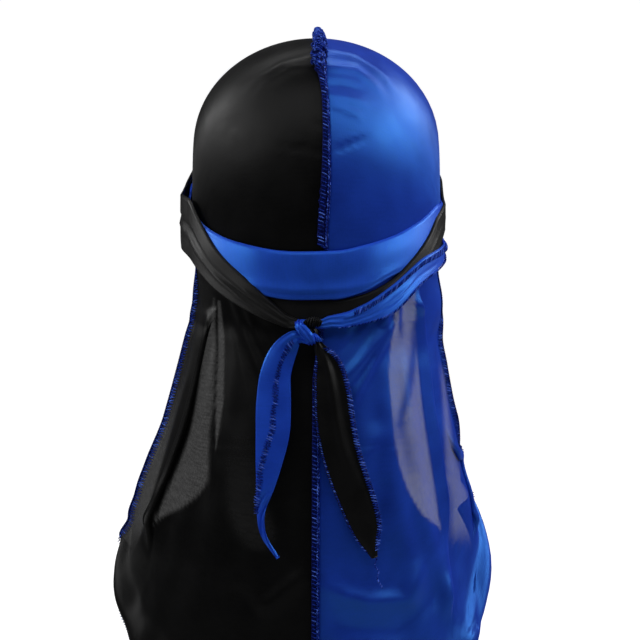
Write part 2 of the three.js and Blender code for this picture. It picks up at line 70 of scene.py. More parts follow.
form = {
    "crownHeight": 124.0, "crownHalfWidth": 77.0, "crownBack": 97.0, "crownFront": 100.0,
    "crownFullness": 2.5, "sideWallAtBack": 20.0, "sideWallAtTop": 58.0, "earArch": 20.0,
    "frontHemAngle": 19.0, "capeLength": 306.0, "capeSideLength": 216.0,
    "hemCurl": {-1: 14.0, 1: 30.0}, "hemCurlStart": {-1: 0.6, 1: 0.5}, "foldHeight": 6.0, "foldGrowth": 70.0,
    "gatherDrop": 52.0, "gatherDropAtEdge": 4.0,
    "clothLift": 0.8, "clothWall": 0.4,      # the cloth's outer face is 1.2 mm off the form
    "strapLift": 1.75, "layerStep": 1.7, "strapWall": 0.9,
    "crownRows": 16, "capeRows": 20,
}

# drop, left, right, hem, back
capeSections = [
    (0, 1, 1, 0.206, 1), (0.065, 0.98, 0.98, 0.215, 0.944), (0.13, 0.985, 1.015, 0.245, 0.892),
    (0.165, 0.997, 1.018, 0.27, 0.876), (0.2, 1.035, 1.01, 0.3, 0.887), (0.26, 1.095, 1.055, 0.34, 0.923),
    (0.366, 1.21, 1.13, 0.41, 0.99), (0.46, 1.33, 1.17, 0.475, 1.036), (0.56, 1.42, 1.24, 0.535, 1.077),
    (0.62, 1.49, 1.3, 0.565, 1.09), (0.68, 1.61, 1.42, 0.6, 1.105), (0.72, 1.52, 1.3, 0.6, 1.11),
    (1, 1.52, 1.3, 0.62, 1.134),
]

# run, drift, height, wall, lean
seamRun = [
    (0, 0, 0, 0.3, 60), (0.11, 0.02, 0, 0.3, 60), (0.16, 0.1, 0.5, 0.4, 10), (0.21, 0.22, 0.64, 0.35, 2),
    (0.25, 0.3, 0.66, 0.35, 4), (0.268, 0.36, 0.7, 0.6, 16), (0.29, 0.46, 0.78, 1.1, 40), (0.305, 0.54, 0.8, 1.2, 54),
    (0.318, 0.6, 0.6, 0.7, 62), (0.328, 0.65, 0.3, 0.35, 70), (0.35, 0.78, 0.2, 0.3, 74), (0.38, 0.88, 0.24, 0.3, 78),
    (0.42, 0.93, 0.38, 0.3, 78), (0.455, 0.85, 0.5, 0.3, 78), (0.475, 0.76, 0.5, 0.3, 78),
    (0.496, 0.72, 0.48, 0.3, 78), (0.502, 0.72, 0, 0.3, 78),
    (0.64, 0.25, 0, 0.3, 78), (0.69, 0.1, 0.24, 0.3, 78), (1, 0, 0.24, 0.3, 78),
]
seam = {"drift": 8.0, "flap": 8.0, "flapWall": 4.5, "width": 2.0, "clearance": 0.1}


def smooth(x, low=0.0, high=1.0):
    t = np.clip((np.asarray(x, float) - low) / (high - low), 0, 1)
    return t * t * (3 - 2 * t)


def readTable(table, column, at):
    # a smooth curve through the rows that never overshoots and is flat at both ends
    rows = np.array(table, float)
    xs, ys, at = rows[:, 0], rows[:, column], np.asarray(at, float)
    if xs[0] > xs[-1]:
        xs, at = -xs, -at
    slope = np.diff(ys) / np.diff(xs)
    a, b = slope[:-1], slope[1:]
    same = a * b > 0
    inner = np.where(same, 2 * a * b / np.where(same, a + b, 1), 0)
    grad = np.concatenate([[0], inner, [0]])
    i = np.clip(np.searchsorted(xs, at, side="right") - 1, 0, len(xs) - 2)
    span = xs[i + 1] - xs[i]
    s = np.clip((at - xs[i]) / span, 0, 1)
    s2, s3 = s * s, s ** 3
    return ((2 * s3 - 3 * s2 + 1) * ys[i] + (s3 - 2 * s2 + s) * span * grad[i]
            + (3 * s2 - 2 * s3) * ys[i + 1] + (s3 - s2) * span * grad[i + 1])


def crownReach(angle):
    across, up = np.cos(angle), np.sin(angle)
    depth = np.where(across > 0, form["crownFront"], form["crownBack"])
    n = form["crownFullness"]
    return (np.abs(across / depth) ** n + np.abs(up / form["crownHeight"]) ** n) ** (-1 / n)


def sideWall(angle):
    return form["sideWallAtBack"] + (form["sideWallAtTop"] - form["sideWallAtBack"]) * np.sin(angle) ** 2


def capeSection(drop):
    at = np.clip(np.asarray(drop, float) / form["capeLength"], 0, 1)
    half, back = form["crownHalfWidth"], form["crownBack"]
    return (readTable(capeSections, 1, at) * half, readTable(capeSections, 2, at) * half,
            readTable(capeSections, 3, at) * back, readTable(capeSections, 4, at) * back)


def formLevel(x, y, z):
    drop = -form["crownHeight"] - z
    angle = np.arctan2(-np.minimum(drop, 0), y)
    upright = sideWall(angle)
    wideUp = x / form["crownHalfWidth"]
    deepUp = np.maximum(0, np.hypot(y, np.minimum(drop, 0)) - upright) / (crownReach(angle) - upright)
    left, right, hem, back = capeSection(np.maximum(drop, 0))
    wideDown = x / np.where(x < 0, left, right)
    deepDown = np.maximum(0, np.abs(y) - hem) / (back - hem)
    return np.where(drop < 0, np.hypot(wideUp, deepUp), np.hypot(wideDown, deepDown))


def formPoints(turn, z, lift):
    # points of the form at a turn round the head (degrees) and a height, lifted off it
    turn, z, lift = np.broadcast_arrays(np.radians(turn), np.asarray(z, float), lift)
    rx, ry = np.sin(turn), -np.cos(turn)
    near, far = np.zeros(turn.shape), np.full(turn.shape, 200.0)
    for _ in range(26):
        half = (near + far) / 2
        inside = formLevel(rx * half, ry * half, z) < 1
        near, far = np.where(inside, half, near), np.where(inside, far, half)
    x, y = rx * near, ry * near
    d = 4.0
    n = np.stack([formLevel(x + d, y, z) - formLevel(x - d, y, z),
                  formLevel(x, y + d, z) - formLevel(x, y - d, z),
                  formLevel(x, y, z + d) - formLevel(x, y, z - d)], -1)
    n /= np.linalg.norm(n, axis=-1, keepdims=True)
    return np.stack([x, y, z], -1) + n * lift[..., None], n


def rowPoint(row, swing, side):
    # a place on the panels: row 0 is the front hem, 16 the ear line at the back, 36 the tail
    wide, deep = np.sin(swing), np.cos(swing)
    crownRows, height = form["crownRows"], form["crownHeight"]
    if row <= crownRows:
        angle = math.radians(form["frontHemAngle"] + (180 - form["frontHemAngle"]) * row / crownRows)
        upright = sideWall(angle)
        reach = upright + (crownReach(angle) - upright) * deep
        return np.stack([side * form["crownHalfWidth"] * wide, reach * math.cos(angle),
                         reach * math.sin(angle) - height], -1)
    share = (row - crownRows) / form["capeRows"]
    sag = smooth(share, 0.3, 1) * (form["capeLength"] - form["capeSideLength"]) * deep
    drop = share * form["capeSideLength"] + sag
    edge = capeSection(share * form["capeSideLength"])
    halfWidth = edge[1] if side > 0 else edge[0]
    depth = edge[2] + (capeSection(drop)[3] - edge[2]) * deep
    return np.stack([side * halfWidth * wide, -depth, -height - drop], -1)


def readSeam(row, column):
    rows = form["crownRows"]
    run = row / rows if row <= rows else 1 + (row - rows) / form["capeRows"]
    return float(readTable(seamRun, column, run / 2))


def swingAt(row, x, side):
    halfWidth = abs(rowPoint(row, np.array(math.pi / 2), side)[0])
    return math.asin(max(-1, min(1, side * x / halfWidth)))


print("form ready")

# mesh helpers


def newPiece(name, points, faces, uv=None, attributes=None):
    # points in millimetres; uv and attributes hold one value per point
    mesh = bpy.data.meshes.new(name)
    mesh.from_pydata((np.asarray(points) * mm).tolist(), [], faces)
    if uv is not None:
        layer = mesh.uv_layers.new(name="cloth")
        index = np.zeros(len(mesh.loops), int)
        mesh.loops.foreach_get("vertex_index", index)
        layer.data.foreach_set("uv", np.asarray(uv, float)[index].ravel())
    for key, values in (attributes or {}).items():
        layer = mesh.attributes.new(key, "FLOAT", "POINT")
        layer.data.foreach_set("value", np.asarray(values, float).ravel())
    mesh.validate()
    piece = bpy.data.objects.new(name, mesh)
    bpy.context.scene.collection.objects.link(piece)
    mesh.polygons.foreach_set("use_smooth", [True] * len(mesh.polygons))
    return piece


def gridFaces(rows, columns, flip=False, closed=False, start=0):
    faces = []
    across = columns if closed else columns - 1
    for r in range(rows - 1):
        for c in range(across):
            a = start + r * columns + c
            b = start + r * columns + (c + 1) % columns
            face = (a, b, b + columns, a + columns)
            faces.append(face[::-1] if flip else face)
    return faces


def gridNormals(grid):
    along = np.gradient(grid, axis=0)
    across = np.gradient(grid, axis=1)
    n = np.cross(along, across)
    return n / np.maximum(np.linalg.norm(n, axis=-1, keepdims=True), 1e-9)


def applyModifier(piece, kind, **values):
    bpy.ops.object.select_all(action="DESELECT")
    piece.select_set(True)
    bpy.context.view_layer.objects.active = piece
    modifier = piece.modifiers.new(kind.lower(), kind)
    for key, value in values.items():
        setattr(modifier, key, value)
    bpy.ops.object.modifier_apply(modifier=modifier.name)
    piece.select_set(False)


def unit(v, least=0.0):
    return v / np.maximum(np.linalg.norm(v, axis=-1, keepdims=True), least)


def lengthAlong(points):
    return np.concatenate([[0], np.cumsum(np.linalg.norm(np.diff(points, axis=0), axis=1))])


def ringUv(rings):
    # the way round each ring and the way along the tube, in uvUnits
    along = lengthAlong(rings.mean(1))
    wide = np.linalg.norm(np.diff(rings, axis=1), axis=2)
    wide = np.concatenate([np.zeros((len(rings), 1)), np.cumsum(wide, axis=1)], axis=1)
    return np.stack([wide, np.broadcast_to(along[:, None], wide.shape)], -1).reshape(-1, 2) / uvUnit


tiny = 1e-9
uvUnit = 100                # millimetres of cloth to one unit of its map
strokeEnds = (0.25, 0.6)    # a stroke grows up to the first share of its length and fades from the second


def strokeLift(x, z, strokes):
    # soft ridges and grooves drawn as short lines in the x-z plane: (points, height, width)
    lift = np.zeros(x.shape)
    for points, height, width in strokes:
        best = np.full(x.shape, 1e9)
        share = np.zeros(x.shape)
        lengths = np.hypot(*np.diff(np.array(points, float), axis=0).T)
        total, done = lengths.sum(), 0.0
        for (x0, z0), (x1, z1), length in zip(points, points[1:], lengths):
            t = np.clip(((x - x0) * (x1 - x0) + (z - z0) * (z1 - z0)) / length ** 2, 0, 1)
            d = np.hypot(x - x0 - t * (x1 - x0), z - z0 - t * (z1 - z0))
            closer = d < best
            best = np.where(closer, d, best)
            share = np.where(closer, (done + t * length) / total, share)
            done += length
        taper = smooth(share, 0, strokeEnds[0]) * (1 - smooth(share, strokeEnds[1], 1))
        lift += height * taper * np.exp(-(best / width) ** 2)
    return lift


# the two panels

# place, width, height of the soft gathers
blackGathers = [(0.3, 0.09, 0.2), (0.48, 0.07, 0.4), (0.62, 0.05, 0.6), (0.72, 0.04, -0.15), (0.82, 0.05, 0.1)]
blueGathers = [(0.22, 0.07, 0.2), (0.4, 0.07, 0.55), (0.52, 0.05, 0.6), (0.66, 0.06, -0.2), (0.8, 0.05, 0.1)]

# overlapping folds: rows of (z, x, overlap); facing 1 shows its edge to the seam, -1 to the side hem
blackPleats = [
    {"facing": 1, "radius": 0.5, "run": [(-158, -60, 0), (-178, -66, 2.5), (-202, -74, 6), (-225, -80, 7),
                                         (-245, -85, 5.5), (-265, -90, 3.8), (-285, -95, 2.4), (-305, -99.5, 1.2),
                                         (-328, -103, 0)]},
    {"facing": -1, "radius": 0.45, "run": [(-166, -53, 0), (-180, -57, 1.5), (-210, -61, 2.5), (-240, -64, 3),
                                           (-270, -66, 2.5), (-300, -67, 1.5), (-330, -68, 0.5), (-345, -68, 0)]},
]
bluePleats = [
    {"facing": -1, "radius": 0.55, "run": [(-140, 62, 0), (-158, 63, 0.9), (-176, 65, 3.4), (-200, 68, 8),
                                            (-235, 72, 8), (-265, 75.5, 7), (-295, 78.5, 5), (-320, 79.8, 2.6),
                                            (-342, 80.8, 1.1), (-366, 82, 0)]},
    {"facing": 1, "radius": 0.45, "run": [(-232, 80, 0), (-250, 83, 1.0), (-266, 88, 2.6), (-280, 92.5, 3.2),
                                          (-292, 96, 2.4), (-303, 99, 1), (-314, 101, 0)]},
]

# how far the hem flares out towards the back, down each side: z, millimetres
blackLip = [(-140, 0), (-160, 3.2), (-200, 3.8), (-280, 4.0), (-292, 3.6), (-302, 2.2), (-312, 1.0), (-322, 0)]
blueLip = [(-168, 0), (-184, 2.6), (-235, 3.0), (-248, 1.2), (-258, 0)]
# the width that the flare takes up, given back along the side: z, millimetres
blackTrim = [(-130, 0), (-160, 2.6), (-235, 3.2), (-262, 1.0), (-280, -0.6), (-294, -2.4), (-304, -0.6),
             (-313, -0.8), (-328, -1.8), (-345, -2.0), (-372, -1.5), (-395, 2.0), (-420, 2.4)]
blueTrim = [(-165, 0), (-184, 2.2), (-222, 3.4), (-248, 0.8), (-268, -0.6), (-284, -2.6), (-300, -1.2),
            (-330, 0.5), (-420, 1.5)]

panels = {
    "lipReach": 6.0,
    "crownSteps": 120, "capeSteps": 190, "spacing": 1.9, "turnColumns": 5, "runColumns": 4,
    "settle": 14.0,          # length over which the top layer of a fold comes down again
    "shortestRun": 0.5,
    "shortestStraight": 2.0,
    "fullTurn": 2.5,         # overlap from which a fold turns right over
    "steps": 8, "longSteps": 32, "longFrom": 14,
    "hemRoom": 6.0,          # no fold lies nearer to the hem than this
    "rowSamples": 160, "referenceRow": 26,
    "referenceSamples": 120,     # as far along that row as its x still grows
    "lipPower": 1.6, "lipBack": 0.35, "trimPower": 4,
    "strokesEnd": (-30, 5),      # y between which the strokes die out towards the front
    "curledIn": (-0.25, 0.05),   # y of the cloth's normal between which it turns inwards
}


def gatherLift(gathers, share, drop):
    start = form["gatherDrop"] + (form["gatherDropAtEdge"] - form["gatherDrop"]) * share ** 3
    opened = smooth(drop - start, 0, form["foldGrowth"])
    humps = sum(h * np.exp(-((share - p) / w) ** 2) for p, w, h in gathers)
    return form["foldHeight"] * opened * humps


def baseLine(row, side):
    # one row of the panel before its folds, as points along the cloth
    edge = seam["drift"] * readSeam(row, 1) + side * (seam["width"] / 2 + seam["clearance"])
    start = swingAt(row, edge, side)
    share = max(0.0, row - form["crownRows"]) / form["capeRows"]
    end = math.pi / 2 + math.radians(form["hemCurl"][side]) * float(smooth(share, form["hemCurlStart"][side], 1))
    line = rowPoint(row, np.linspace(start, end, panels["rowSamples"]), side)
    if row <= form["crownRows"]:
        angle = math.radians(form["frontHemAngle"] + (180 - form["frontHemAngle"]) * row / form["crownRows"])
        foot = np.array([line[-1, 0], form["earArch"] * math.cos(angle),
                         form["earArch"] * math.sin(angle) - form["crownHeight"]])
        if np.linalg.norm(foot - line[-1]) > 0.01:
            line = np.vstack([line, line[-1] + (foot - line[-1]) * np.linspace(0.1, 1, 10)[:, None]])
    return line


def pleatedRow(line, side, gathers, pleats, columns, lip, trim):
    lengths = lengthAlong(line)
    total = lengths[-1]
    at = lambda s, k: np.interp(s, lengths, line[:, k])
    turns, runs, middles = [], [], []
    for pleat in pleats:
        table = pleat["run"]
        z = float(line[len(line) // 2, 2])
        for _ in range(3):     # the fold's place along the row, from its x at the row's own height there
            x = float(readTable(table, 1, z))
            order = np.argsort(side * line[:, 0][: np.argmax(side * line[:, 0]) + 1])
            s = float(np.interp(side * x, (side * line[:, 0])[order], lengths[order]))
            z = float(at(s, 2))
        overlap = float(readTable(table, 2, z)) if table[-1][0] < z < table[0][0] else 0.0
        k = float(smooth(overlap, 0, panels["fullTurn"]))
        runs.append(max(panels["shortestRun"], overlap))
        turns.append(math.pi * k * pleat["facing"])
        middles.append(min(s, total - panels["hemRoom"]))
    # headings along the cloth: straight, turn, run back, turn, straight ...
    previous = 0.0
    plan = []
    for pleat, phi, run, middle in zip(pleats, turns, runs, middles):
        arc = math.pi * pleat["radius"]
        part = arc * (math.sin(phi) / phi if abs(phi) > 1e-6 else 1.0)
        advance = 2 * part + run * math.cos(phi)
        straight = max(panels["shortestStraight"], middle - advance / 2 - previous)
        plan += [(straight, 0, 0), (arc, 0, phi), (run, phi, phi), (arc, phi, 0)]
        previous = previous + straight + advance
    plan.append((max(panels["shortestStraight"], total - previous), 0, 0))
    s, lift, sigma, stops = [0.0], [0.0], [0.0], [0.0]
    for length, h0, h1 in plan:
        steps = panels["steps"] if length < panels["longFrom"] else panels["longSteps"]
        heads = h0 + (h1 - h0) * (np.arange(steps) + 0.5) / steps
        s.extend(s[-1] + np.cumsum(np.cos(heads)) * length / steps)
        lift.extend(lift[-1] + np.cumsum(np.sin(heads)) * length / steps)
        sigma.extend(sigma[-1] + (np.arange(steps) + 1) * length / steps)
        stops.append(sigma[-1])
    s, lift, sigma = np.array(s), np.array(lift), np.array(sigma)
    for i, pleat in enumerate(pleats):
        begin, finish = stops[1 + 4 * i], stops[4 + 4 * i]
        rise = np.interp(finish, sigma, lift) - np.interp(begin, sigma, lift)
        if pleat["facing"] > 0:
            lift = lift - rise * smooth(sigma, finish, finish + panels["settle"])
        else:
            lift = lift - rise * smooth(sigma, begin - panels["settle"], begin)
    places = []
    for i, count in enumerate(columns):
        places.extend(stops[i] + (stops[i + 1] - stops[i]) * np.arange(count) / count)
    places.append(stops[-1])
    places = np.array(places)
    s, lift = np.interp(places, sigma, s), np.interp(places, sigma, lift)
    s = np.minimum(s * total / max(s[-1], 1e-6), total) if s[-1] > total else s
    points = np.stack([at(s, 0), at(s, 1), at(s, 2)], -1)
    eps = 1.0
    ahead = np.stack([at(np.minimum(s + eps, total), k) - at(np.maximum(s - eps, 0), k) for k in (0, 1)], -1)
    out = np.stack([ahead[:, 1], -ahead[:, 0], np.zeros(len(s))], -1) * side
    out = unit(out, tiny)
    if float(np.sum(out * points)) < 0:
        out = -out
    drop = -form["crownHeight"] - points[:, 2]
    lift = lift + gatherLift(gathers, s / total, drop)
    points = points + out * lift[:, None]
    reach = np.clip((s - total + panels["lipReach"]) / panels["lipReach"], 0, 1)
    flare = readTable(lip, 1, points[:, 2]) * reach ** panels["lipPower"]
    inward = readTable(trim, 1, points[:, 2]) * (points[:, 0] / np.abs(line[:, 0]).max()) ** panels["trimPower"]
    points[:, 0] += side * (flare - inward)
    points[:, 1] -= panels["lipBack"] * flare
    return points, places


def panelGrid(side, gathers, pleats, lip, trim):
    crown = np.linspace(0, form["crownRows"], panels["crownSteps"], endpoint=False)
    cape = np.linspace(form["crownRows"], form["crownRows"] + form["capeRows"], panels["capeSteps"])
    rowsAt = np.concatenate([crown, cape])
    reference = baseLine(panels["referenceRow"], side)
    lengths = lengthAlong(reference)
    rising = panels["referenceSamples"]
    marks = [0.0]
    for pleat in pleats:
        x = pleat["run"][len(pleat["run"]) // 2][1]
        marks.append(float(np.interp(side * x, side * reference[:rising, 0], lengths[:rising])))
    marks.append(lengths[-1])
    columns = []
    for i in range(len(pleats)):
        columns += [max(6, round((marks[i + 1] - marks[i]) / panels["spacing"])), panels["turnColumns"],
                    panels["runColumns"], panels["turnColumns"]]
    columns.append(max(6, round((marks[-1] - marks[-2]) / panels["spacing"])))
    grid, cloth = [], []
    down = 0.0
    for i, row in enumerate(rowsAt):
        points, places = pleatedRow(baseLine(row, side), side, gathers, pleats, columns, lip, trim)
        if i:
            down += float(np.median(np.linalg.norm(points - grid[-1], axis=1)))
        grid.append(points)
        cloth.append(np.stack([places, np.full(len(places), down)], -1))
    return np.array(grid), np.array(cloth)


def makePanel(name, side, gathers, pleats, lip, trim, strokes, sheer):
    grid, cloth = panelGrid(side, gathers, pleats, lip, trim)
    normal = gridNormals(grid) * side
    x, y, z = grid[..., 0], grid[..., 1], grid[..., 2]
    back = 1 - smooth(y, *panels["strokesEnd"])
    lift = form["clothLift"] + strokeLift(x, z, strokes) * back
    skin = grid + normal * lift[..., None]
    away = 1 - smooth(normal[..., 1], *panels["curledIn"])     # the part curled inwards stays dense
    rows, columns = x.shape
    # the sheer attribute is the cloth's see-through, laid out by the window tables as painted light and a painted
    # sheen
    piece = newPiece(name, skin.reshape(-1, 3), gridFaces(rows, columns, flip=side < 0),
                     uv=cloth.reshape(-1, 2) / uvUnit, attributes={"sheer": sheer(x, z) * away})
    applyModifier(piece, "SOLIDIFY", thickness=form["clothWall"] * mm, offset=1)
    return piece, skin, normal


# see-through areas: (z, from x, to x) down each, how strong it is there, its soft edge. Partly real sheerness, partly
# painted light: they are laid out to let the bright backdrop through where light showed and to keep the dark middle
# dense where shade lay behind the cloth, not worked out from where it lies single or double; the faint fourth black
# one is a painted sheen
blackWindows = [
    ([(-150, -150, -62), (-173, -150, -69.3), (-202, -150, -77.3), (-234, -150, -87), (-264, -150, -95.8),
      (-291, -150, -104), (-304, -150, -107.5), (-325, -150, -114)],
     [(-150, 0.25), (-190, 0.4), (-235, 0.8), (-270, 1), (-300, 0.95), (-312, 0.6), (-326, 0)], 1.6),
    ([(-158, -64, -62.1), (-179, -67.2, -62.1), (-197, -70.5, -62.4), (-221, -74, -63), (-241, -78, -65),
      (-256, -83, -65.6), (-268, -88, -66), (-277, -92, -70.8), (-288, -96.5, -83.9), (-301, -101.5, -101)],
     [(-158, 0.7), (-175, 1), (-301, 1)], 1.5),
    ([(-160, -60.9, -58.6), (-166, -60.9, -58), (-189, -60.7, -56), (-217, -62, -56.3), (-237, -62.2, -58.5),
      (-252, -61.8, -61)], [(-160, 0.8), (-180, 1), (-252, 1)], 0.8),
    ([(-215, -56, -40), (-245, -58, -36), (-279, -56, -30), (-300, -50, -24), (-314, -42, -28)],
     [(-215, 0), (-245, 0.22), (-290, 0.34), (-308, 0.26), (-314, 0)], 6.0),
]
blueWindows = [
    ([(-152, 48, 61.4), (-166, 47.3, 61.6), (-181, 45.8, 61.8), (-204, 44.4, 63.6), (-229, 46.6, 66.2),
      (-251, 49, 69.3), (-271, 54.5, 72.3), (-289, 64.4, 75), (-303, 76.8, 77)],
     [(-152, 0.8), (-170, 1), (-303, 1)], 0.8),
    ([(-200, 76.4, 77), (-206, 76.6, 79.6), (-220, 77.7, 81.7), (-240, 78.7, 84), (-250, 79.2, 85), (-268, 79.8, 90),
      (-288, 81.5, 96), (-308, 82.7, 99.8), (-313, 89, 100.3), (-318, 95.4, 100.9), (-322, 100.6, 101)],
     [(-200, 0.7), (-215, 0.9), (-297, 0.9), (-308, 0.55), (-318, 0)], 2.2),
]
# denser streaks across them: the line, how much they hide, their width
streakFade = 8
blackStreaks = [([(-150, -88), (-205, -84.5), (-240, -96), (-300, -116)], 0.3, 1.2)]
blueStreaks = [([(-172, 61.5), (-190, 60.3), (-214, 56.6), (-236, 51.5)], 0.6, 2.4),
               ([(-150, 51), (-166, 51), (-180, 52)], 0.8, 1.3), ([(-232, 52), (-262, 58)], 0.25, 4.0)]


def sheerness(x, z, windows, streaks):
    value = np.zeros(x.shape)
    for edges, strength, soft in windows:
        low, high = edges[-1][0], edges[0][0]
        inside = smooth(z, low - soft, low + soft) * (1 - smooth(z, high - soft, high + soft))
        for column, way in ((1, 1), (2, -1)):
            edge = readTable(edges, column, z)
            slope = (readTable(edges, column, z + 1) - readTable(edges, column, z - 1)) / 2
            inside = inside * smooth(way * (x - edge) / np.hypot(1, slope), -soft, soft)
        value = np.maximum(value, inside * readTable(strength, 1, z))
    for line, hidden, width in streaks:
        near = np.exp(-((x - readTable(line, 1, z)) / width) ** 2)
        foot = line[-1][0]
        begun = smooth(z, foot - streakFade, foot + streakFade) * (z < line[0][0])
        value = value * (1 - hidden * near * begun)
    return value


# creases and soft ridges: x-z points in millimetres, height, width
blackStrokes = [
    ([(4, -9), (-3, -11), (-21, -16), (-36, -25), (-48, -36)], 1.3, 2.4),
    ([(2, -14), (-4, -16), (-16, -18.5), (-31, -27.5), (-42, -38)], 1.2, 1.9),
    ([(8, -38.5), (3, -38), (-9, -36.5)], -0.6, 1.2), ([(9, -52), (-6, -49)], -0.3, 1.5),
    ([(9, -67), (4, -66.4), (-18, -63.5), (-26, -63)], -0.5, 1.3),
    ([(-52, -148), (-50, -159), (-42.5, -182), (-33, -204), (-26, -228)], 1.5, 2.2),
    ([(-46, -148), (-42.5, -164), (-35.7, -180), (-29, -193), (-22, -214)], 1.3, 2.0),
    ([(-56, -150), (-49, -182), (-43, -215)], -0.7, 1.8), ([(-36, -152), (-26, -176), (-18, -205)], 0.6, 3.5),
    ([(-61.5, -158), (-62, -200), (-64, -250), (-66, -300), (-66, -345)], -1.2, 1.7),
    ([(-50, -225), (-45, -262), (-42, -285), (-32, -306), (-20, -300)], 1.6, 6.5),
    ([(-40, -352), (-33, -346), (-22, -337), (-9, -325), (-4, -310)], 2.2, 5.5),
    ([(-52, -330), (-40, -345), (-26, -352)], -1.2, 6.0),
    ([(-82, -249), (-66, -250), (-20, -249.5), (-2, -249)], 0.25, 0.9),
    ([(-92, -318), (-84, -345), (-62, -372), (-30, -384)], 0.7, 8.0),
]
blueStrokes = [
    ([(0, -5), (5, -7), (23.4, -10.7), (42, -23), (52, -36)], 1.6, 2.6),
    ([(0, -15), (4, -16), (24.5, -18.4), (36, -27.5), (44, -38)], 1.4, 2.2),
    ([(3, -32), (10, -34.3), (27, -37), (34, -41)], 1.1, 1.7),
    ([(4, -36), (11.5, -39), (24.3, -44), (31, -49)], 0.9, 1.7),
    ([(3, -27), (8, -27), (16, -27), (34, -32)], -1.0, 1.8),
    ([(8, -67), (13.3, -65.4), (18, -63.5), (29, -59.4), (35, -57)], -0.8, 1.5),
    ([(46, -152), (42.4, -177), (27, -196), (14, -210), (4, -226)], 3.0, 3.6),
    ([(53, -150), (48.6, -171), (34.3, -196), (24, -216), (16, -238)], 2.9, 2.4),
    ([(45, -152), (41.7, -169), (30.6, -186), (21, -200)], 1.2, 1.5),
    ([(50, -152), (45, -176), (30, -200), (20, -220)], -1.6, 1.8),
    ([(36, -152), (24, -178), (12, -196)], -1.5, 2.8),
    ([(40, -230), (33, -250), (21, -266), (8, -272)], 1.8, 6.5), ([(44, -262), (36, -290), (22, -306)], -1.2, 7.0),
    ([(0, -324), (4, -330), (18, -337), (32, -341), (57, -341), (65, -318), (66, -296)], 2.4, 5.5),
    ([(2, -345), (22, -357), (50, -360), (72, -340), (76, -318)], -1.6, 6.5),
    ([(81, -292), (82.7, -308), (86.3, -336), (94.4, -362), (101.4, -361), (102, -330)], -1.5, 2.2),
    ([(2, -249), (20, -249.5), (66, -250), (84, -249)], 0.3, 0.9),
]
leftPanel, leftSkin, leftNormal = makePanel("left_panel_cloth", -1, blackGathers, blackPleats, blackLip, blackTrim,
                                            blackStrokes, lambda x, z: sheerness(x, z, blackWindows, blackStreaks))
print("left panel", len(leftPanel.data.polygons))
rightPanel, rightSkin, rightNormal = makePanel("right_panel_cloth", 1, blueGathers, bluePleats, blueLip, blueTrim,
                                               blueStrokes, lambda x, z: sheerness(x, z, blueWindows, blueStreaks))
print("right panel", len(rightPanel.data.polygons))

# straps: two turns, knot and tie end

# turn, top, foot, layer
blueStrapRun = [
    (118, 0.74, 0.9, 1), (90, 0.81, 0.98, 1), (61, 0.82, 1.04, 1), (44, 0.89, 1.1, 1), (30, 0.952, 1.158, 1),
    (18, 0.99, 1.228, 1.5), (7, 1.014, 1.256, 2), (-8, 1.018, 1.26, 2), (-30, 0.982, 1.22, 2),
    (-46, 0.925, 1.14, 2), (-60, 0.85, 1.05, 2), (-90, 0.81, 0.98, 2), (-118, 0.73, 0.89, 2),
    (-132, 0.66, 0.82, 1.5), (-147, 0.575, 0.73, 1), (-165, 0.543, 0.698, 1), (-195, 0.543, 0.698, 1),
    (-213, 0.635, 0.785, 1.3), (-228, 0.77, 0.89, 2), (-242, 0.88, 0.985, 2), (-258, 0.95, 1.04, 1.2),
    (-270, 0.99, 1.065, 1), (-280, 1.008, 1.075, 1.1), (-290, 1.012, 1.09, 2.1), (-297, 1.025, 1.12, 3),
    (-315, 1.065, 1.2, 3), (-331, 1.2, 1.35, 3),
    (-342, 1.285, 1.388, 3), (-351, 1.325, 1.405, 3),
]
blackStrapRun = [
    (-118, 0.74, 0.9, 1), (-90, 0.82, 1, 1), (-60, 0.9, 1.13, 1), (-35, 1.05, 1.266, 1), (-15, 1.18, 1.35, 1),
    (-3, 1.238, 1.388, 1), (7, 1.266, 1.392, 1), (18, 1.238, 1.37, 1.5), (30, 1.168, 1.31, 2),
    (40, 1.06, 1.225, 2), (49, 0.965, 1.15, 2), (57, 0.875, 1.06, 2), (70, 0.82, 0.97, 2), (90, 0.8, 0.95, 2),
    (118, 0.69, 0.84, 2), (132, 0.57, 0.725, 1.5), (147, 0.445, 0.6, 1), (165, 0.375, 0.53, 1),
    (195, 0.375, 0.53, 1), (213, 0.4, 0.555, 2), (228, 0.54, 0.71, 3), (242, 0.69, 0.88, 3),
    (258, 0.77, 0.98, 4.5), (286, 0.775, 1.05, 4.5), (300, 0.79, 1.1, 3), (309, 0.875, 1.165, 3),
    (320, 1.01, 1.245, 3), (332, 1.14, 1.32, 3), (343, 1.265, 1.38, 3), (351, 1.34, 1.412, 3),
]
# x, rise, storey, face, width
blueKnotRun = [
    (0.45, 0.19, 0, 0, 0.38), (0.15, 0.1, 0, 0, 0.28), (-0.2, 0.12, 0.05, 20, 0.22), (-0.5, 0.18, 1, 90, 0.24),
    (-0.5, 0.08, 1.95, 140, 0.28), (-0.38, -0.06, 2.15, 180, 0.34), (-0.22, -0.25, 2.1, 200, 0.32),
    (-0.13, -0.42, 1.2, 260, 0.24), (-0.22, -0.42, 0.2, 330, 0.2), (-0.42, -0.32, 0.1, 360, 0.3),
    (-0.62, -0.31, 0.4, 360, 0.45),
]
blackKnotRun = [
    (-0.6, 0.13, 0.85, 0, 0.28), (-0.32, 0.08, 1, 0, 0.24), (-0.1, -0.08, 1, 0, 0.24),
    (-0.01, -0.33, 1.05, 0, 0.22), (0.12, -0.6, 1.1, 0, 0.3),
]
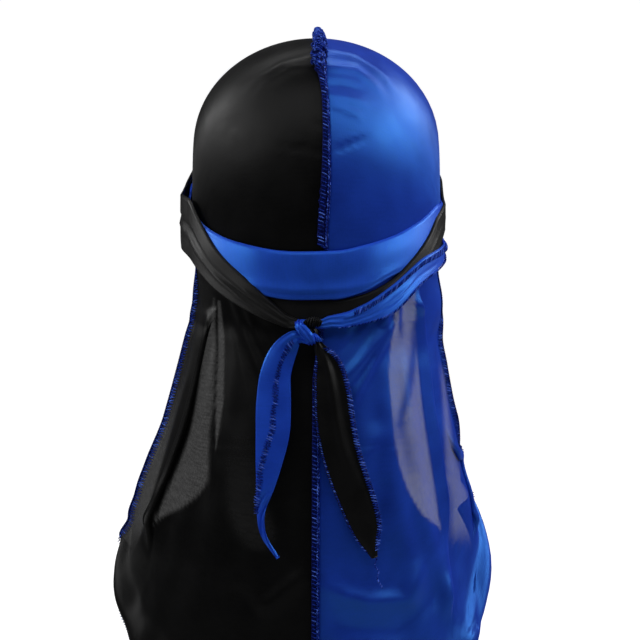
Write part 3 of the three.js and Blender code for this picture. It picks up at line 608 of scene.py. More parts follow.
# drop, x, width
blueTieRun = [
    (0.1, -0.138, 0.76), (0.2, -0.177, 0.87), (0.32, -0.186, 1), (0.45, -0.19, 1), (0.58, -0.206, 0.78),
    (0.7, -0.224, 0.5), (0.8, -0.242, 0.22), (0.9, -0.23, 0.16), (1, -0.166, 0.09),
]
blackTieRun = [
    (0.16, 0.053, 0.69), (0.26, 0.07, 0.9), (0.4, 0.083, 1), (0.52, 0.104, 0.98), (0.64, 0.14, 0.98),
    (0.75, 0.18, 0.94), (0.85, 0.214, 0.84), (0.92, 0.23, 0.6), (1, 0.257, 0.1),
]
knot = {"drop": 50.0, "size": 20.0, "wall": 2.9, "clearance": 1.0, "taper": 0.5, "layer": 3.7,
        "tieLength": 139.0, "tieWall": 1.1, "tieLift": 5.5, "samples": 12, "capeFace": 1.2, "widthBlend": 13}
straps = {"turnStep": 1.2, "across": 20, "rolledEdge": 0.35, "bunchStart": 0.955, "bunchWall": 1.74,
          "tuck": (0.45, 1.6), "roll": (1.1, 0.8), "pinch": (0.75, 0.35),     # each with its width last
          "wornRings": 12}


def bandLines(lines, turn, share, height):
    # creases along the band: (turns, shares, height, width, kind); a step is crisp on its lower side
    relief = np.zeros(turn.shape)
    for turns, shares, rise, width, kind in lines:
        order = np.argsort(turns)
        t0, t1 = min(turns), max(turns)
        line = np.interp(turn, np.array(turns, float)[order], np.array(shares, float)[order])
        fade = smooth(turn, t0, t0 + 0.2 * (t1 - t0)) * (1 - smooth(turn, t1 - 0.2 * (t1 - t0), t1))
        d = (share - line) * height
        if kind == "ridge":
            relief += rise * fade * np.exp(-(d / width) ** 2)
        else:
            relief += rise * fade * np.where(d < 0, np.exp(-(d / width) ** 2), np.exp(-(d / 0.5) ** 2))
    return relief


def bandRings(run, lines, sag):
    first, last = run[0][0], run[-1][0]
    count = int(abs(last - first) / straps["turnStep"])
    turn = np.linspace(first, last, count)
    progress = np.linspace(0, 1, count)
    top = -form["crownHeight"] * readTable(run, 1, turn)
    foot = -form["crownHeight"] * readTable(run, 2, turn)
    lift = form["strapLift"] + (readTable(run, 3, turn) - 1) * form["layerStep"]
    share = (1 - np.cos(np.linspace(0, math.pi, straps["across"]))) / 2
    share = 0.5 * share + 0.5 * np.linspace(0, 1, straps["across"])
    turnGrid, shareGrid = np.meshgrid(turn, share, indexing="ij")
    height = (top - foot)[:, None]
    z = top[:, None] - shareGrid * height
    bunch = smooth(progress, straps["bunchStart"], 1)[:, None]
    wall = form["strapWall"] + (straps["bunchWall"] - form["strapWall"]) * bunch
    edge = np.minimum(shareGrid, 1 - shareGrid) * height
    tuck = straps["tuck"][0] * np.exp(-(edge / straps["tuck"][1]) ** 2)
    rolled = straps["rolledEdge"] * np.exp(-((edge - straps["roll"][0]) / straps["roll"][1]) ** 2)
    pinch = 1 - np.exp(-(edge / straps["pinch"][1]) ** 2) * straps["pinch"][0]
    relief = bandLines(lines, turnGrid, shareGrid, height)
    bow = sag * np.sin(np.pi * shareGrid) * (1 - bunch)
    inner, _ = formPoints(turnGrid, z, lift[:, None] - tuck)
    outer, normals = formPoints(turnGrid, z, lift[:, None] - tuck + (wall + rolled) * pinch + relief + bow)
    if last > first:
        inner, outer, normals = inner[:, ::-1], outer[:, ::-1], normals[:, ::-1]
    return inner, outer, normals, turn


def onCape(x, z, lift):
    left, right, hem, back = capeSection(-form["crownHeight"] - z)
    halfWidth = left if x < 0 else right
    deep = math.sqrt(1 - (x / halfWidth) ** 2)
    return np.array([x, -(hem + (back - hem) * deep) - knot["capeFace"] - lift, z])


def smoothPath(points, samples):
    # a centripetal curve through the points, and its headings
    p = np.array(points, float)
    p = np.vstack([2 * p[0] - p[1], p, 2 * p[-1] - p[-2]])
    out = []
    for i in range(1, len(p) - 2):
        p0, p1, p2, p3 = p[i - 1:i + 3]
        t1 = np.linalg.norm(p1 - p0) ** 0.5
        t2 = t1 + np.linalg.norm(p2 - p1) ** 0.5
        t3 = t2 + np.linalg.norm(p3 - p2) ** 0.5
        for t in np.linspace(t1, t2, samples, endpoint=False):
            a1 = p0 * (t1 - t) / t1 + p1 * t / t1
            a2 = p1 * (t2 - t) / (t2 - t1) + p2 * (t - t1) / (t2 - t1)
            a3 = p2 * (t3 - t) / (t3 - t2) + p3 * (t - t2) / (t3 - t2)
            b1 = a1 * (t2 - t) / t2 + a2 * t / t2
            b2 = a2 * (t3 - t) / (t3 - t1) + a3 * (t - t1) / (t3 - t1)
            out.append(b1 * (t2 - t) / (t2 - t1) + b2 * (t - t1) / (t2 - t1))
    out.append(p[-2])
    out = np.array(out)
    heading = np.gradient(out, axis=0)
    return out, unit(heading)


def strandRings(knotRun, tieRun, tieWidth, shape):
    knotZ = -form["crownHeight"] - knot["drop"]
    storeyLift = knot["wall"] + knot["clearance"]
    stations = []
    for x, rise, storey, face, width in knotRun:
        centre = onCape(x * knot["size"], knotZ + rise * knot["size"],
                        knot["layer"] - knot["capeFace"] + knot["wall"] / 2 + storey * storeyLift)
        stations.append((centre, math.radians(face), width * knot["size"], knot["wall"], 0.0))
    tieFace = stations[-1][1]
    for drop, x, width in tieRun:
        centre = onCape(x * knot["tieLength"], knotZ - drop * knot["tieLength"], knot["tieLift"])
        stations.append((centre, tieFace, width * tieWidth, knot["tieWall"], drop))
    path, heading = smoothPath([s[0] for s in stations], knot["samples"])
    index = np.linspace(0, len(stations) - 1, len(path))
    base = np.arange(len(stations))
    face, width, wall, drop = (np.interp(index, base, [s[k] for s in stations]) for k in (1, 2, 3, 4))
    blend = knot["widthBlend"]
    width = np.convolve(np.pad(width, blend // 2, mode="edge"), np.ones(blend) / blend, "valid")
    outward = np.stack([np.zeros(len(face)), -np.cos(face), -np.sin(face)], -1)
    across = unit(np.cross(outward, heading))
    normal = np.cross(heading, across)
    share = np.linspace(-0.5, 0.5, straps["across"])[None, :]
    index, drop, width, wall = (v[:, None] for v in (index, drop, width, wall))
    thick = wall * (1 - knot["taper"] * (2 * share) ** 2)
    arch, relief = shape(index, drop, share, width)
    place = path[:, None] + across[:, None] * (share * width)[..., None]
    bothSides = relief * (1 - smooth(drop, 0, 0.1))       # pleats show on either face of the knot
    inner = place + normal[:, None] * (arch - thick / 2 - bothSides)[..., None]
    outer = place + normal[:, None] * (arch + thick / 2 + relief)[..., None]
    return inner, outer, np.broadcast_to(normal[:, None], outer.shape), drop[:, 0], index[:, 0]


def makeStrap(name, band, strand):
    inner = np.concatenate([band[0][:-1], strand[0][1:]])
    outer = np.concatenate([band[1][:-1], strand[1][1:]])
    rings = np.concatenate([inner, outer[:, ::-1]], axis=1)
    count, around = rings.shape[:2]
    faces = gridFaces(count, around, closed=True)
    half = around // 2
    for k in range(half - 1):
        other = around - 1 - k
        faces.append((k + 1, other - 1, other, k))
        end = (count - 1) * around
        faces.append((end + k, end + other, end + other - 1, end + k + 1))
    v = rings.reshape(-1, 3)
    tri = np.array([(f[0], f[1], f[2]) for f in faces] + [(f[0], f[2], f[3]) for f in faces])
    volume = np.einsum("ij,ij->i", v[tri[:, 0]], np.cross(v[tri[:, 1]], v[tri[:, 2]])).sum()
    if volume < 0:
        faces = [f[::-1] for f in faces]
    knotted = np.arange(len(strand[0]) - 1)
    worn = np.concatenate([np.ones(len(band[0]) - 1), 1 - smooth(knotted, 0, straps["wornRings"])])
    return newPiece(name, v, faces, uv=ringUv(rings), attributes={"tilt": np.repeat(worn, around)})


blueLines = [
    ((40, 28, 17, 5, -10, -24, -36), (0.86, 0.86, 0.84, 0.81, 0.8, 0.82, 0.86), 1.0, 4.0, "step"),
    ((61, 30, 0, -30, -55), (0.32, 0.3, 0.42, 0.5, 0.45), 0.25, 5.0, "ridge"),
    ((-351, -340, -330, -318), (0.55, 0.5, 0.52, 0.5), 0.8, 1.0, "ridge"),
    ((-351, -342, -334, -322), (0.8, 0.74, 0.72, 0.7), 0.7, 0.9, "ridge"),
    ((-351, -341, -331), (0.25, 0.3, 0.34), 0.7, 1.0, "ridge"),
    ((-346, -336, -326, -300), (0.62, 0.6, 0.62, 0.6), -0.5, 1.4, "ridge"),
]
blackLines = [
    ((262, 280, 300, 315, 330, 345), (0.3, 0.4, 0.45, 0.5, 0.52, 0.5), -1.4, 1.2, "ridge"),
    ((282, 295, 305, 320, 335), (0.55, 0.6, 0.62, 0.66, 0.7), 1.2, 3.0, "step"),
    ((325, 338, 351), (0.75, 0.7, 0.72), 0.9, 1.0, "ridge"),
    ((330, 342, 351), (0.4, 0.35, 0.3), 0.8, 0.9, "ridge"),
    ((20, 35, 55, 75), (0.45, 0.5, 0.55, 0.5), 0.4, 1.2, "ridge"),
]


def blueTieShape(index, drop, share, width):
    inTie = smooth(drop, 0.02, 0.16)
    pleats = 0.42 * np.cos(2 * math.pi * (2.6 * share + 0.15 * index)) * (1 - inTie)
    arch = 1.6 * (1 - (2 * share) ** 2) * inTie * (1 - smooth(drop, 0.68, 0.8))
    edge = np.interp(drop, [0, 0.2, 0.45, 0.62, 0.75], [0.05, 0.08, -0.02, -0.3, -0.5])
    flap = 0.75 * smooth(edge - share, 0, 0.05) * inTie * (1 - smooth(drop, 0.62, 0.74))
    twist = 0.8 * np.cos(2 * math.pi * (1.6 * share + 9 * drop)) * smooth(drop, 0.68, 0.76)
    return arch, pleats + flap + twist * np.minimum(1, width / 6)


def blackTieShape(index, drop, share, width):
    inTie = smooth(drop, 0.02, 0.2)
    pleats = 0.42 * np.cos(2 * math.pi * (2.4 * share + 0.2 * index)) * (1 - inTie)
    arch = 1.4 * (1 - (2 * share) ** 2) * inTie
    line = np.interp(drop, [0, 0.16, 0.4, 0.64, 0.9], [-0.05, -0.05, 0.05, 0.1, 0.2])
    ridge = 1.9 * np.exp(-((share - line) * width / 2.4) ** 2) * inTie * (1 - smooth(drop, 0.4, 0.75))
    groove = -0.5 * np.exp(-((share - line - 0.22) * width / 1.6) ** 2) * inTie
    return arch, pleats + ridge + groove


def knotGathers(s):
    # cloth bunched up where one strap pulls the other together
    knotZ = -form["crownHeight"] - knot["drop"]
    along = np.linspace(0, 1, s["rings"])
    around = np.linspace(0, 2 * math.pi, s["sides"], endpoint=False)
    swell = np.sin(np.pi * np.clip(along * 0.94 + 0.03, 0, 1)) ** 0.45
    pleat = s["pleat"] * np.abs(np.cos(np.pi * s["pleats"] * along + 0.6 * np.sin(9 * along))) ** 1.4
    rings = []
    for t, size, fold in zip(along, swell, pleat):
        x = s["from"] + (s["to"] - s["from"]) * t
        middle = onCape(x, knotZ + s["rise"] + s["fall"] * t + s["sag"] * (2 * t - 1) ** 2, s["lift"])
        lean = s["lean"] * np.sin(around)
        rings.append(middle + np.stack([lean, -(s["deep"] * size + fold) * np.cos(around),
                                        (s["tall"] * size + 0.6 * fold) * np.sin(around)], -1))
    return np.array(rings)


blackBand = bandRings(blackStrapRun, blackLines, 0.15)
blackStrand = strandRings(blackKnotRun, blackTieRun, 24.5, blackTieShape)
blackStrap = makeStrap("black_strap_cloth", blackBand, blackStrand)
blueBand = bandRings(blueStrapRun, blueLines, 0.15)
blueStrand = strandRings(blueKnotRun, blueTieRun, 21.5, blueTieShape)
blueStrap = makeStrap("blue_strap_cloth", blueBand, blueStrand)
print("straps", len(blackStrap.data.polygons), len(blueStrap.data.polygons))

# centre seam

ridge = {"crownSteps": 330, "capeSteps": 200, "ruffleLength": 7.0, "spread": 2.2}


def seamRings():
    rows = np.concatenate([np.linspace(0, 16, ridge["crownSteps"], endpoint=False),
                           np.linspace(16, 36, ridge["capeSteps"])])
    centre = np.array([rowPoint(r, swingAt(r, seam["drift"] * readSeam(r, 1), 1), 1) for r in rows])
    along = np.gradient(centre, axis=0)
    right = np.array([1.0, 0, 0])
    normal = unit(np.cross(along, right))
    length = lengthAlong(centre)
    height = seam["flap"] * np.array([max(0.0, readSeam(r, 2)) for r in rows])
    lean = np.radians([readSeam(r, 4) for r in rows])
    wall = np.array([readSeam(r, 3) for r in rows]) * seam["flapWall"]
    tall = smooth(height, 3.0, 5.5)
    wave = np.sin(2 * math.pi * length / ridge["ruffleLength"] + 1.3 * np.sin(length / 7.0))
    flutter = np.sin(2 * math.pi * length / 5.3 + 0.7)
    height = height * (1 + 0.1 * wave * tall) + 0.2 * flutter * (height > 3.5)
    lean = lean + np.radians(16) * wave * tall
    wall = np.minimum(wall * (1 + 0.25 * flutter * tall), height)
    upright = smooth(np.degrees(lean), 20, 55)
    rings = []
    for i in range(len(rows)):
        place = lambda x, up: centre[i] + right * x + normal[i] * up
        h, a, w = height[i], lean[i], wall[i]
        half = seam["width"] / 2 + 0.25
        spread = ridge["spread"] * tall[i] * (1 - upright[i])
        root = form["clothLift"] + form["clothWall"] + min(0.35, h)
        tipX, tipUp = -h * math.sin(a), h * math.cos(a)
        wallX, wallUp = w * math.cos(a), w * math.sin(a)
        rings.append([
            place(-half - spread, 0.6), place(-half - spread, root),
            place(-half - 0.85 * spread + 0.5 * tipX, root + 0.5 * tipUp), place(-half + 0.6 + tipX, root + tipUp),
            place(-half + tipX + 0.2 * wallX, root + tipUp + 0.2 * wallUp + 0.2 * w * 0.4),
            place(-half + tipX + 0.8 * wallX, root + tipUp + 0.8 * wallUp + 0.2 * w * 0.4),
            place(-half + tipX + wallX, root + tipUp + wallUp),
            place(0.5 * (-half + tipX + wallX) + 0.5 * half + 0.85 * spread, root + 0.5 * tipUp + wallUp),
            place(half + spread, root + 0.6 * wallUp), place(half + spread, 0.6),
        ])
    return np.array(rings), centre, normal, length


def closedTube(name, rings, attributes=None):
    count, around = rings.shape[:2]
    faces = gridFaces(count, around, closed=True)
    faces.append(tuple(range(around))[::-1])
    faces.append(tuple((count - 1) * around + k for k in range(around)))
    v = rings.reshape(-1, 3)
    volume = 0.0
    for f in faces[:-2]:
        a, b, c, d = (v[k] for k in f)
        volume += float(np.dot(a, np.cross(b, c)) + np.dot(a, np.cross(c, d)))
    if volume < 0:
        faces = [f[::-1] for f in faces]
    return newPiece(name, v, faces, uv=ringUv(rings), attributes=attributes)


seamGrid, seamCentre, seamNormal, seamLength = seamRings()
seamRidge = closedTube("seam_ridge", seamGrid)
blackGatherShape = {"rings": 120, "sides": 20, "from": -7.5, "to": 3.4, "rise": 4.2, "fall": -0.6, "sag": -0.6,
                    "lift": 8.4, "tall": 2.9, "deep": 2.0, "pleats": 8, "pleat": 0.9, "lean": 0.7}
blueGatherShape = {"rings": 60, "sides": 20, "from": -3.4, "to": 3.0, "rise": -4.6, "fall": -1.6, "sag": -0.3,
                   "lift": 9.4, "tall": 2.4, "deep": 1.9, "pleats": 4, "pleat": 0.7, "lean": -0.8}
knotPieces = []
for name, shape in (("black_knot_gathers", blackGatherShape), ("blue_knot_gathers", blueGatherShape)):
    flat = {"tilt": np.zeros(shape["rings"] * shape["sides"])}
    knotPieces.append(closedTube(name, knotGathers(shape), attributes=flat))
blackBunch, blueBunch = knotPieces
print("seam", len(seamRidge.data.polygons))

# hems

hem = {"radius": 0.85, "sides": 8, "out": 0.35}


def panelRim(skin, normal):
    # the free edge: front hem, over the ear and down the side, tail; with its normals
    rim = np.concatenate([skin[0], skin[1:, -1], skin[-1, ::-1][1:]])
    out = np.concatenate([normal[0], normal[1:, -1], normal[-1, ::-1][1:]])
    keep = [0]
    for i in range(1, len(rim)):
        if np.linalg.norm(rim[i] - rim[keep[-1]]) > 0.8:
            keep.append(i)
    return rim[keep], out[keep]


def hemTube(name, skin, normal, side):
    rim, out = panelRim(skin, normal)
    away = unit(np.cross(unit(np.gradient(rim, axis=0)), out) * -side)
    angles = 2 * math.pi * (np.arange(hem["sides"]) + 0.5) / hem["sides"]
    middle = rim + away * hem["out"] + out * form["clothWall"] / 2
    rings = (middle[:, None] + out[:, None] * (hem["radius"] * np.cos(angles))[None, :, None]
             + away[:, None] * (hem["radius"] * np.sin(angles))[None, :, None])
    return closedTube(name, rings), middle, out, away


leftHem, leftRim, leftOut, leftAway = hemTube("left_hem_roll", leftSkin, leftNormal, -1)
rightHem, rightRim, rightOut, rightAway = hemTube("right_hem_roll", rightSkin, rightNormal, 1)
print("hems", len(leftHem.data.polygons), len(rightHem.data.polygons))

# overlock stitches


def makeBead():
    # one plump loop of thread, a unit long on X, copied for every stitch
    bpy.ops.object.select_all(action="DESELECT")
    bpy.ops.mesh.primitive_uv_sphere_add(segments=6, ring_count=4, radius=0.5, rotation=(0, math.pi / 2, 0))
    bead = bpy.context.object
    bpy.ops.object.transform_apply(location=True, rotation=True, scale=True)
    points = np.array([v.co[:] for v in bead.data.vertices])
    faces = [tuple(p.vertices) for p in bead.data.polygons]
    bpy.data.objects.remove(bead)
    return points, faces


beadPoints, beadFaces = makeBead()


def beads(starts, ends, normals, thickness):
    # a loop of thread from each start to each end, lying on the side that its normal points to
    starts, ends, normals = (np.asarray(v, float).reshape(-1, 3) for v in (starts, ends, normals))
    axis = ends - starts
    length = np.linalg.norm(axis, axis=1, keepdims=True)
    axis = axis / length
    wide = unit(np.cross(normals, axis))
    up = np.cross(axis, wide)
    p = beadPoints
    bend = 0.35 * thickness * (1 - (2 * p[:, 0]) ** 2)
    return ((starts + ends)[:, None] / 2 + axis[:, None] * (p[:, 0] * 1.12)[None, :, None] * length[:, None]
            + wide[:, None] * (p[:, 1] * thickness)[None, :, None]
            + up[:, None] * (p[:, 2] * thickness + bend)[None, :, None])


def resample(path, others, spacing):
    lengths = lengthAlong(path)
    count = max(2, int(lengths[-1] / spacing))
    at = np.linspace(0, lengths[-1], count)
    pick = lambda grid: np.stack([np.interp(at, lengths, grid[:, k]) for k in range(3)], -1)
    return pick(path), [pick(o) for o in others]


def overlockRow(path, normals, across, settings):
    # slanted bars of thread over the cloth's edge, crossed by thinner ones where the settings ask for it
    points, (up, side) = resample(path, (normals, across), settings["spacing"])
    up, side, along = unit(up), unit(side), unit(np.gradient(points, axis=0))
    base = points + up * settings["lift"]
    wobble = stitchRandom.normal(0, 0.12, (len(points), 1))
    low = base + side * settings["from"] + along * (-settings["slant"] / 2 + wobble)
    high = base + side * settings["to"] + along * (settings["slant"] / 2 + wobble)
    sets = [beads(low, high, up, settings["thread"])]
    if settings.get("cross"):
        sets.append(beads(high, low + along * settings["spacing"], up, settings["thread"] * 0.85))
    return np.concatenate(sets)


def scatterBeads(grid, normals, count, length, thickness, lift):
    # loops of thread heaped at random over a surface
    rows, columns = grid.shape[:2]
    r, c = stitchRandom.uniform(1, rows - 2, count), stitchRandom.uniform(0, columns - 1, count)
    r0, c0 = r.astype(int), np.minimum(c.astype(int), columns - 2)
    fr, fc = (r - r0)[:, None], (c - c0)[:, None]
    pick = lambda g: ((g[r0, c0] * (1 - fc) + g[r0, c0 + 1] * fc) * (1 - fr)
                      + (g[r0 + 1, c0] * (1 - fc) + g[r0 + 1, c0 + 1] * fc) * fr)
    spot, up = pick(grid), unit(pick(normals), tiny)
    way = np.cross(up, stitchRandom.normal(0, 1, (count, 3)))
    way *= length / 2 / np.maximum(np.linalg.norm(way, axis=1, keepdims=True), 1e-9)
    spot = spot + up * lift
    return beads(spot - way, spot + way, up, thickness)


def stitchPiece(name, sets):
    loops = np.concatenate(sets)
    n = len(beadPoints)
    faces = [tuple(k * n + i for i in f) for k in range(len(loops)) for f in beadFaces]
    tone = np.repeat(stitchRandom.random(len(loops)), n)
    return newPiece(name, loops.reshape(-1, 3), faces, uv=np.tile(beadPoints[:, :2], (len(loops), 1)),
                    attributes={"tone": tone})


stitchRandom = np.random.default_rng(11)
seamStitch = {"spacing": 2.5, "from": 0.0, "to": 3.6, "slant": 1.5, "thread": 0.85, "lift": 0.15}
capeStitch = {"spacing": 1.7, "from": -0.2, "to": 2.6, "slant": 0.9, "thread": 0.6, "lift": 0.1, "cross": True}
hemStitch = {"spacing": 1.8, "from": -4.0, "to": 0.8, "slant": 1.0, "thread": 0.55, "lift": 0.4, "cross": True}
tieStitch = {"spacing": 1.6, "from": -1.8, "to": 1.8, "slant": 1.6, "thread": 0.7, "lift": 0.25, "cross": True}
edgeStitch = {"spacing": 2.0, "from": -1.3, "to": 1.2, "slant": 0.6, "thread": 0.95, "lift": 0.5}
thinStitch = {"spacing": 1.3, "from": -0.7, "to": 0.6, "slant": 0.9, "thread": 0.65, "lift": 0.2}
chainStitch = {"spacing": 1.9, "from": -0.45, "to": 0.45, "slant": 1.5, "thread": 0.8, "lift": 0.3, "cross": True}
rootStitch = {"spacing": 2.2, "from": -0.25, "to": 0.25, "slant": 2.0, "thread": 0.75, "lift": 0.25}

leanIn = unit(seamGrid[:, 6] - seamGrid[:, 3], tiny)
flapRoot = seamGrid[:, 8]
flapEdge = seamGrid[:, 6]
wayIn = unit(flapRoot - flapEdge, tiny)
onFlap = (seamLength > seamLength[0]) & (np.linalg.norm(flapRoot - flapEdge, axis=1) > 1.5)


def runsOf(mask):
    edges = np.flatnonzero(np.diff(np.concatenate([[0], mask.astype(int), [0]])))
    return list(zip(edges[::2], edges[1::2]))


seamSets = []
crownEnd = ridge["crownSteps"]
for begin, end in runsOf(onFlap):
    if end - begin > 8:
        faceUp = unit(np.cross(np.gradient(flapEdge[begin:end], axis=0), wayIn[begin:end]))
        faceUp *= np.sign(np.sum(faceUp * (leanIn[begin:end] + 0.3 * seamNormal[begin:end]), axis=1, keepdims=True))
        settings = seamStitch if begin < crownEnd else capeStitch
        seamSets.append(overlockRow(flapEdge[begin:end], faceUp, wayIn[begin:end], settings))
# the chain where the flap meets the blue cloth, and a fine line of loops beyond it
acrossSeam = np.tile([1.0, 0, 0], (len(seamCentre), 1))
for begin, end in runsOf(np.linalg.norm(seamGrid[:, 3] - seamGrid[:, 1], axis=1) > 0.6):
    root = 0.35 * seamGrid[begin:end, 7] + 0.65 * seamGrid[begin:end, 8]
    seamSets.append(overlockRow(root, seamNormal[begin:end], acrossSeam[begin:end], chainStitch))
    seamSets.append(overlockRow(seamGrid[begin:end, 9], seamNormal[begin:end], acrossSeam[begin:end], rootStitch))
# the bunched thread at the top
heaped = (seamGrid[:, 3:9], seamGrid[:, 3:9] - seamGrid[:, 3:9].mean(1, keepdims=True) + seamNormal[:, None] * 1.5)
heapRows = np.flatnonzero((np.linalg.norm(seamGrid[:, 3] - seamGrid[:, 1], axis=1) > 4.2))
heapRows = heapRows[heapRows < 0.75 * crownEnd]
bunch = slice(heapRows[0], heapRows[-1])
seamSets.append(scatterBeads(heaped[0][bunch], heaped[1][bunch], 1500, 1.9, 0.75, 0.1))
outside = seamGrid[bunch, 0:4]
seamSets.append(scatterBeads(outside, np.tile([-1.0, 0, 0.2], outside.shape[:2] + (1,)), 500, 1.9, 0.7, 0.1))
seamStitches = stitchPiece("seam_stitches", seamSets)

leftHemStitches = stitchPiece("left_hem_stitches", [overlockRow(leftRim, leftOut, leftAway, hemStitch)])
rightHemStitches = stitchPiece("right_hem_stitches", [overlockRow(rightRim, rightOut, rightAway, hemStitch)])


def onBand(band, share, turnFrom, turnTo):
    # a line along a band's outer face; share runs from its top edge to its foot
    inner, outer, normals, turn = band
    low, high = min(turnFrom, turnTo), max(turnFrom, turnTo)
    rows = np.flatnonzero((turn >= low) & (turn <= high))
    flipped = turn[-1] > turn[0]
    columns = np.linspace(0, 1, outer.shape[1])
    s = 1 - share if flipped else share
    k = int(round(s * (outer.shape[1] - 1)))
    step = 1 if k < outer.shape[1] - 1 else -1
    across = outer[rows, k + step] - outer[rows, k]
    if (step > 0) == flipped:
        across = -across
    return outer[rows, k], normals[rows, k], across


def onTie(strand, share, dropFrom, dropTo):
    inner, outer, normals, drop, index = strand
    rows = np.flatnonzero((drop >= dropFrom) & (drop <= dropTo))
    shares = share(drop[rows]) if callable(share) else np.full(len(rows), share)
    k = shares * (outer.shape[1] - 1)
    low = np.clip(np.floor(k).astype(int), 0, outer.shape[1] - 2)
    f = (k - low)[:, None]
    line = outer[rows, low] * (1 - f) + outer[rows, low + 1] * f
    return line, normals[rows, low], outer[rows, low + 1] - outer[rows, low]


blueTopRow = dict(tieStitch, **{"from": -0.4, "to": 3.2})
blueSets = [overlockRow(*onBand(blueBand, 0.08, -276, -346), blueTopRow),
            overlockRow(*onBand(blueBand, 0.88, -280, -351), edgeStitch)]
flapLine = lambda d: 0.5 + np.interp(d, [0, 0.2, 0.45, 0.62, 0.75], [0.05, 0.08, -0.02, -0.3, -0.42])
wideRow = dict(tieStitch, **{"from": -2.2, "to": 2.2, "spacing": 1.7, "thread": 0.75})
blueSets.append(overlockRow(*onTie(blueStrand, flapLine, 0.03, 0.8), wideRow))
blueStitches = stitchPiece("blue_strap_stitches", blueSets)
blackSets = [overlockRow(*onTie(blackStrand, 0.95, 0.02, 0.97), tieStitch),
             overlockRow(*onTie(blackStrand, 0.04, 0.05, 0.97), thinStitch)]
# the chain of thread that runs on past the black tie's tip
tail = {"run": [(35.4, -310.5), (37, -314), (35.8, -318), (38.2, -322), (37.4, -326), (40, -331)], "lift": 3.2}
tailPath = smoothPath([onCape(x, z, tail["lift"]) for x, z in tail["run"]], 8)[0]
tailUp = np.tile([0, -1.0, 0], (len(tailPath), 1))
tailSide = np.cross(np.gradient(tailPath, axis=0), tailUp)
blackSets.append(overlockRow(tailPath, tailUp, tailSide, dict(tieStitch, **{"from": -0.5, "to": 0.5, "lift": 0.0})))
blackStitches = stitchPiece("black_strap_stitches", blackSets)
print("stitches", sum(len(o.data.polygons) for o in (seamStitches, leftHemStitches, rightHemStitches,
                                                     blueStitches, blackStitches)))

# materials


def newGroup(name, inputs, outputs):
    group = bpy.data.node_groups.new(name, "ShaderNodeTree")
    for key, kind, value in inputs:
        socket = group.interface.new_socket(name=key, in_out="INPUT", socket_type=kind)
        if value is not None:
            socket.default_value = value
    for key, kind in outputs:
        group.interface.new_socket(name=key, in_out="OUTPUT", socket_type=kind)
    return group, group.nodes.new("NodeGroupInput"), group.nodes.new("NodeGroupOutput")


def makeNode(tree, kind, values=None, **links):
    # values go to sockets by name or number, links join sockets of other nodes to this one
    made = tree.nodes.new(kind)
    for key, value in (values or {}).items():
        if isinstance(key, str) and hasattr(made, key) and key not in made.inputs:
            setattr(made, key, value)
        else:
            made.inputs[key].default_value = value
    for key, source in links.items():
        tree.links.new(source, made.inputs[int(key[1:]) if key[0] == "n" and key[1:].isdigit() else key])
    return made


def makeWeaveGroup():
    # fine satin grain: threads across and along, with a soft unevenness
    group, given, result = newGroup(
        "satinWeave",
        [("UV", "NodeSocketVector", None), ("Pitch", "NodeSocketFloat", 60.0), ("Streak", "NodeSocketFloat", 0.5)],
        [("Height", "NodeSocketFloat"), ("Tone", "NodeSocketFloat"), ("Gaps", "NodeSocketFloat")])
    link = group.links.new
    scaled = makeNode(group, "ShaderNodeVectorMath", {"operation": "SCALE"}, n0=given.outputs["UV"],
                      Scale=given.outputs["Pitch"])
    streakMap = makeNode(group, "ShaderNodeMapping", {"Scale": (0.12, 1.0, 1.0)}, Vector=scaled.outputs[0])
    streaks = makeNode(group, "ShaderNodeTexNoise", {"Scale": 1.0, "Detail": 2.0, "Roughness": 0.6},
                       Vector=streakMap.outputs[0])
    ribMap = makeNode(group, "ShaderNodeMapping", {"Scale": (1.0, 0.35, 1.0)}, Vector=scaled.outputs[0])
    ribs = makeNode(group, "ShaderNodeTexNoise", {"Scale": 1.7, "Detail": 1.0}, Vector=ribMap.outputs[0])
    both = makeNode(group, "ShaderNodeMix", {"data_type": "FLOAT"}, n0=given.outputs["Streak"],
                    n2=ribs.outputs["Fac"], n3=streaks.outputs["Fac"])
    broad = makeNode(group, "ShaderNodeTexNoise", {"Scale": 5.0, "Detail": 2.0}, Vector=given.outputs["UV"])
    tone = makeNode(group, "ShaderNodeMath", {"operation": "MULTIPLY_ADD", 1: 0.5}, n0=both.outputs[0])
    halved = makeNode(group, "ShaderNodeMath", {"operation": "MULTIPLY", 1: 0.5}, n0=broad.outputs["Fac"])
    link(halved.outputs[0], tone.inputs[2])
    link(both.outputs[0], result.inputs["Height"])
    link(tone.outputs[0], result.inputs["Tone"])
    link(both.outputs[0], result.inputs["Gaps"])
    return group


weaveGroup = makeWeaveGroup()


def newMaterial(name):
    material = bpy.data.materials.new(name)
    material.use_nodes = True
    tree = material.node_tree
    return material, tree, tree.nodes["Principled BSDF"]


def setShader(shader, values):
    for key, value in values.items():
        shader.inputs[key].default_value = value


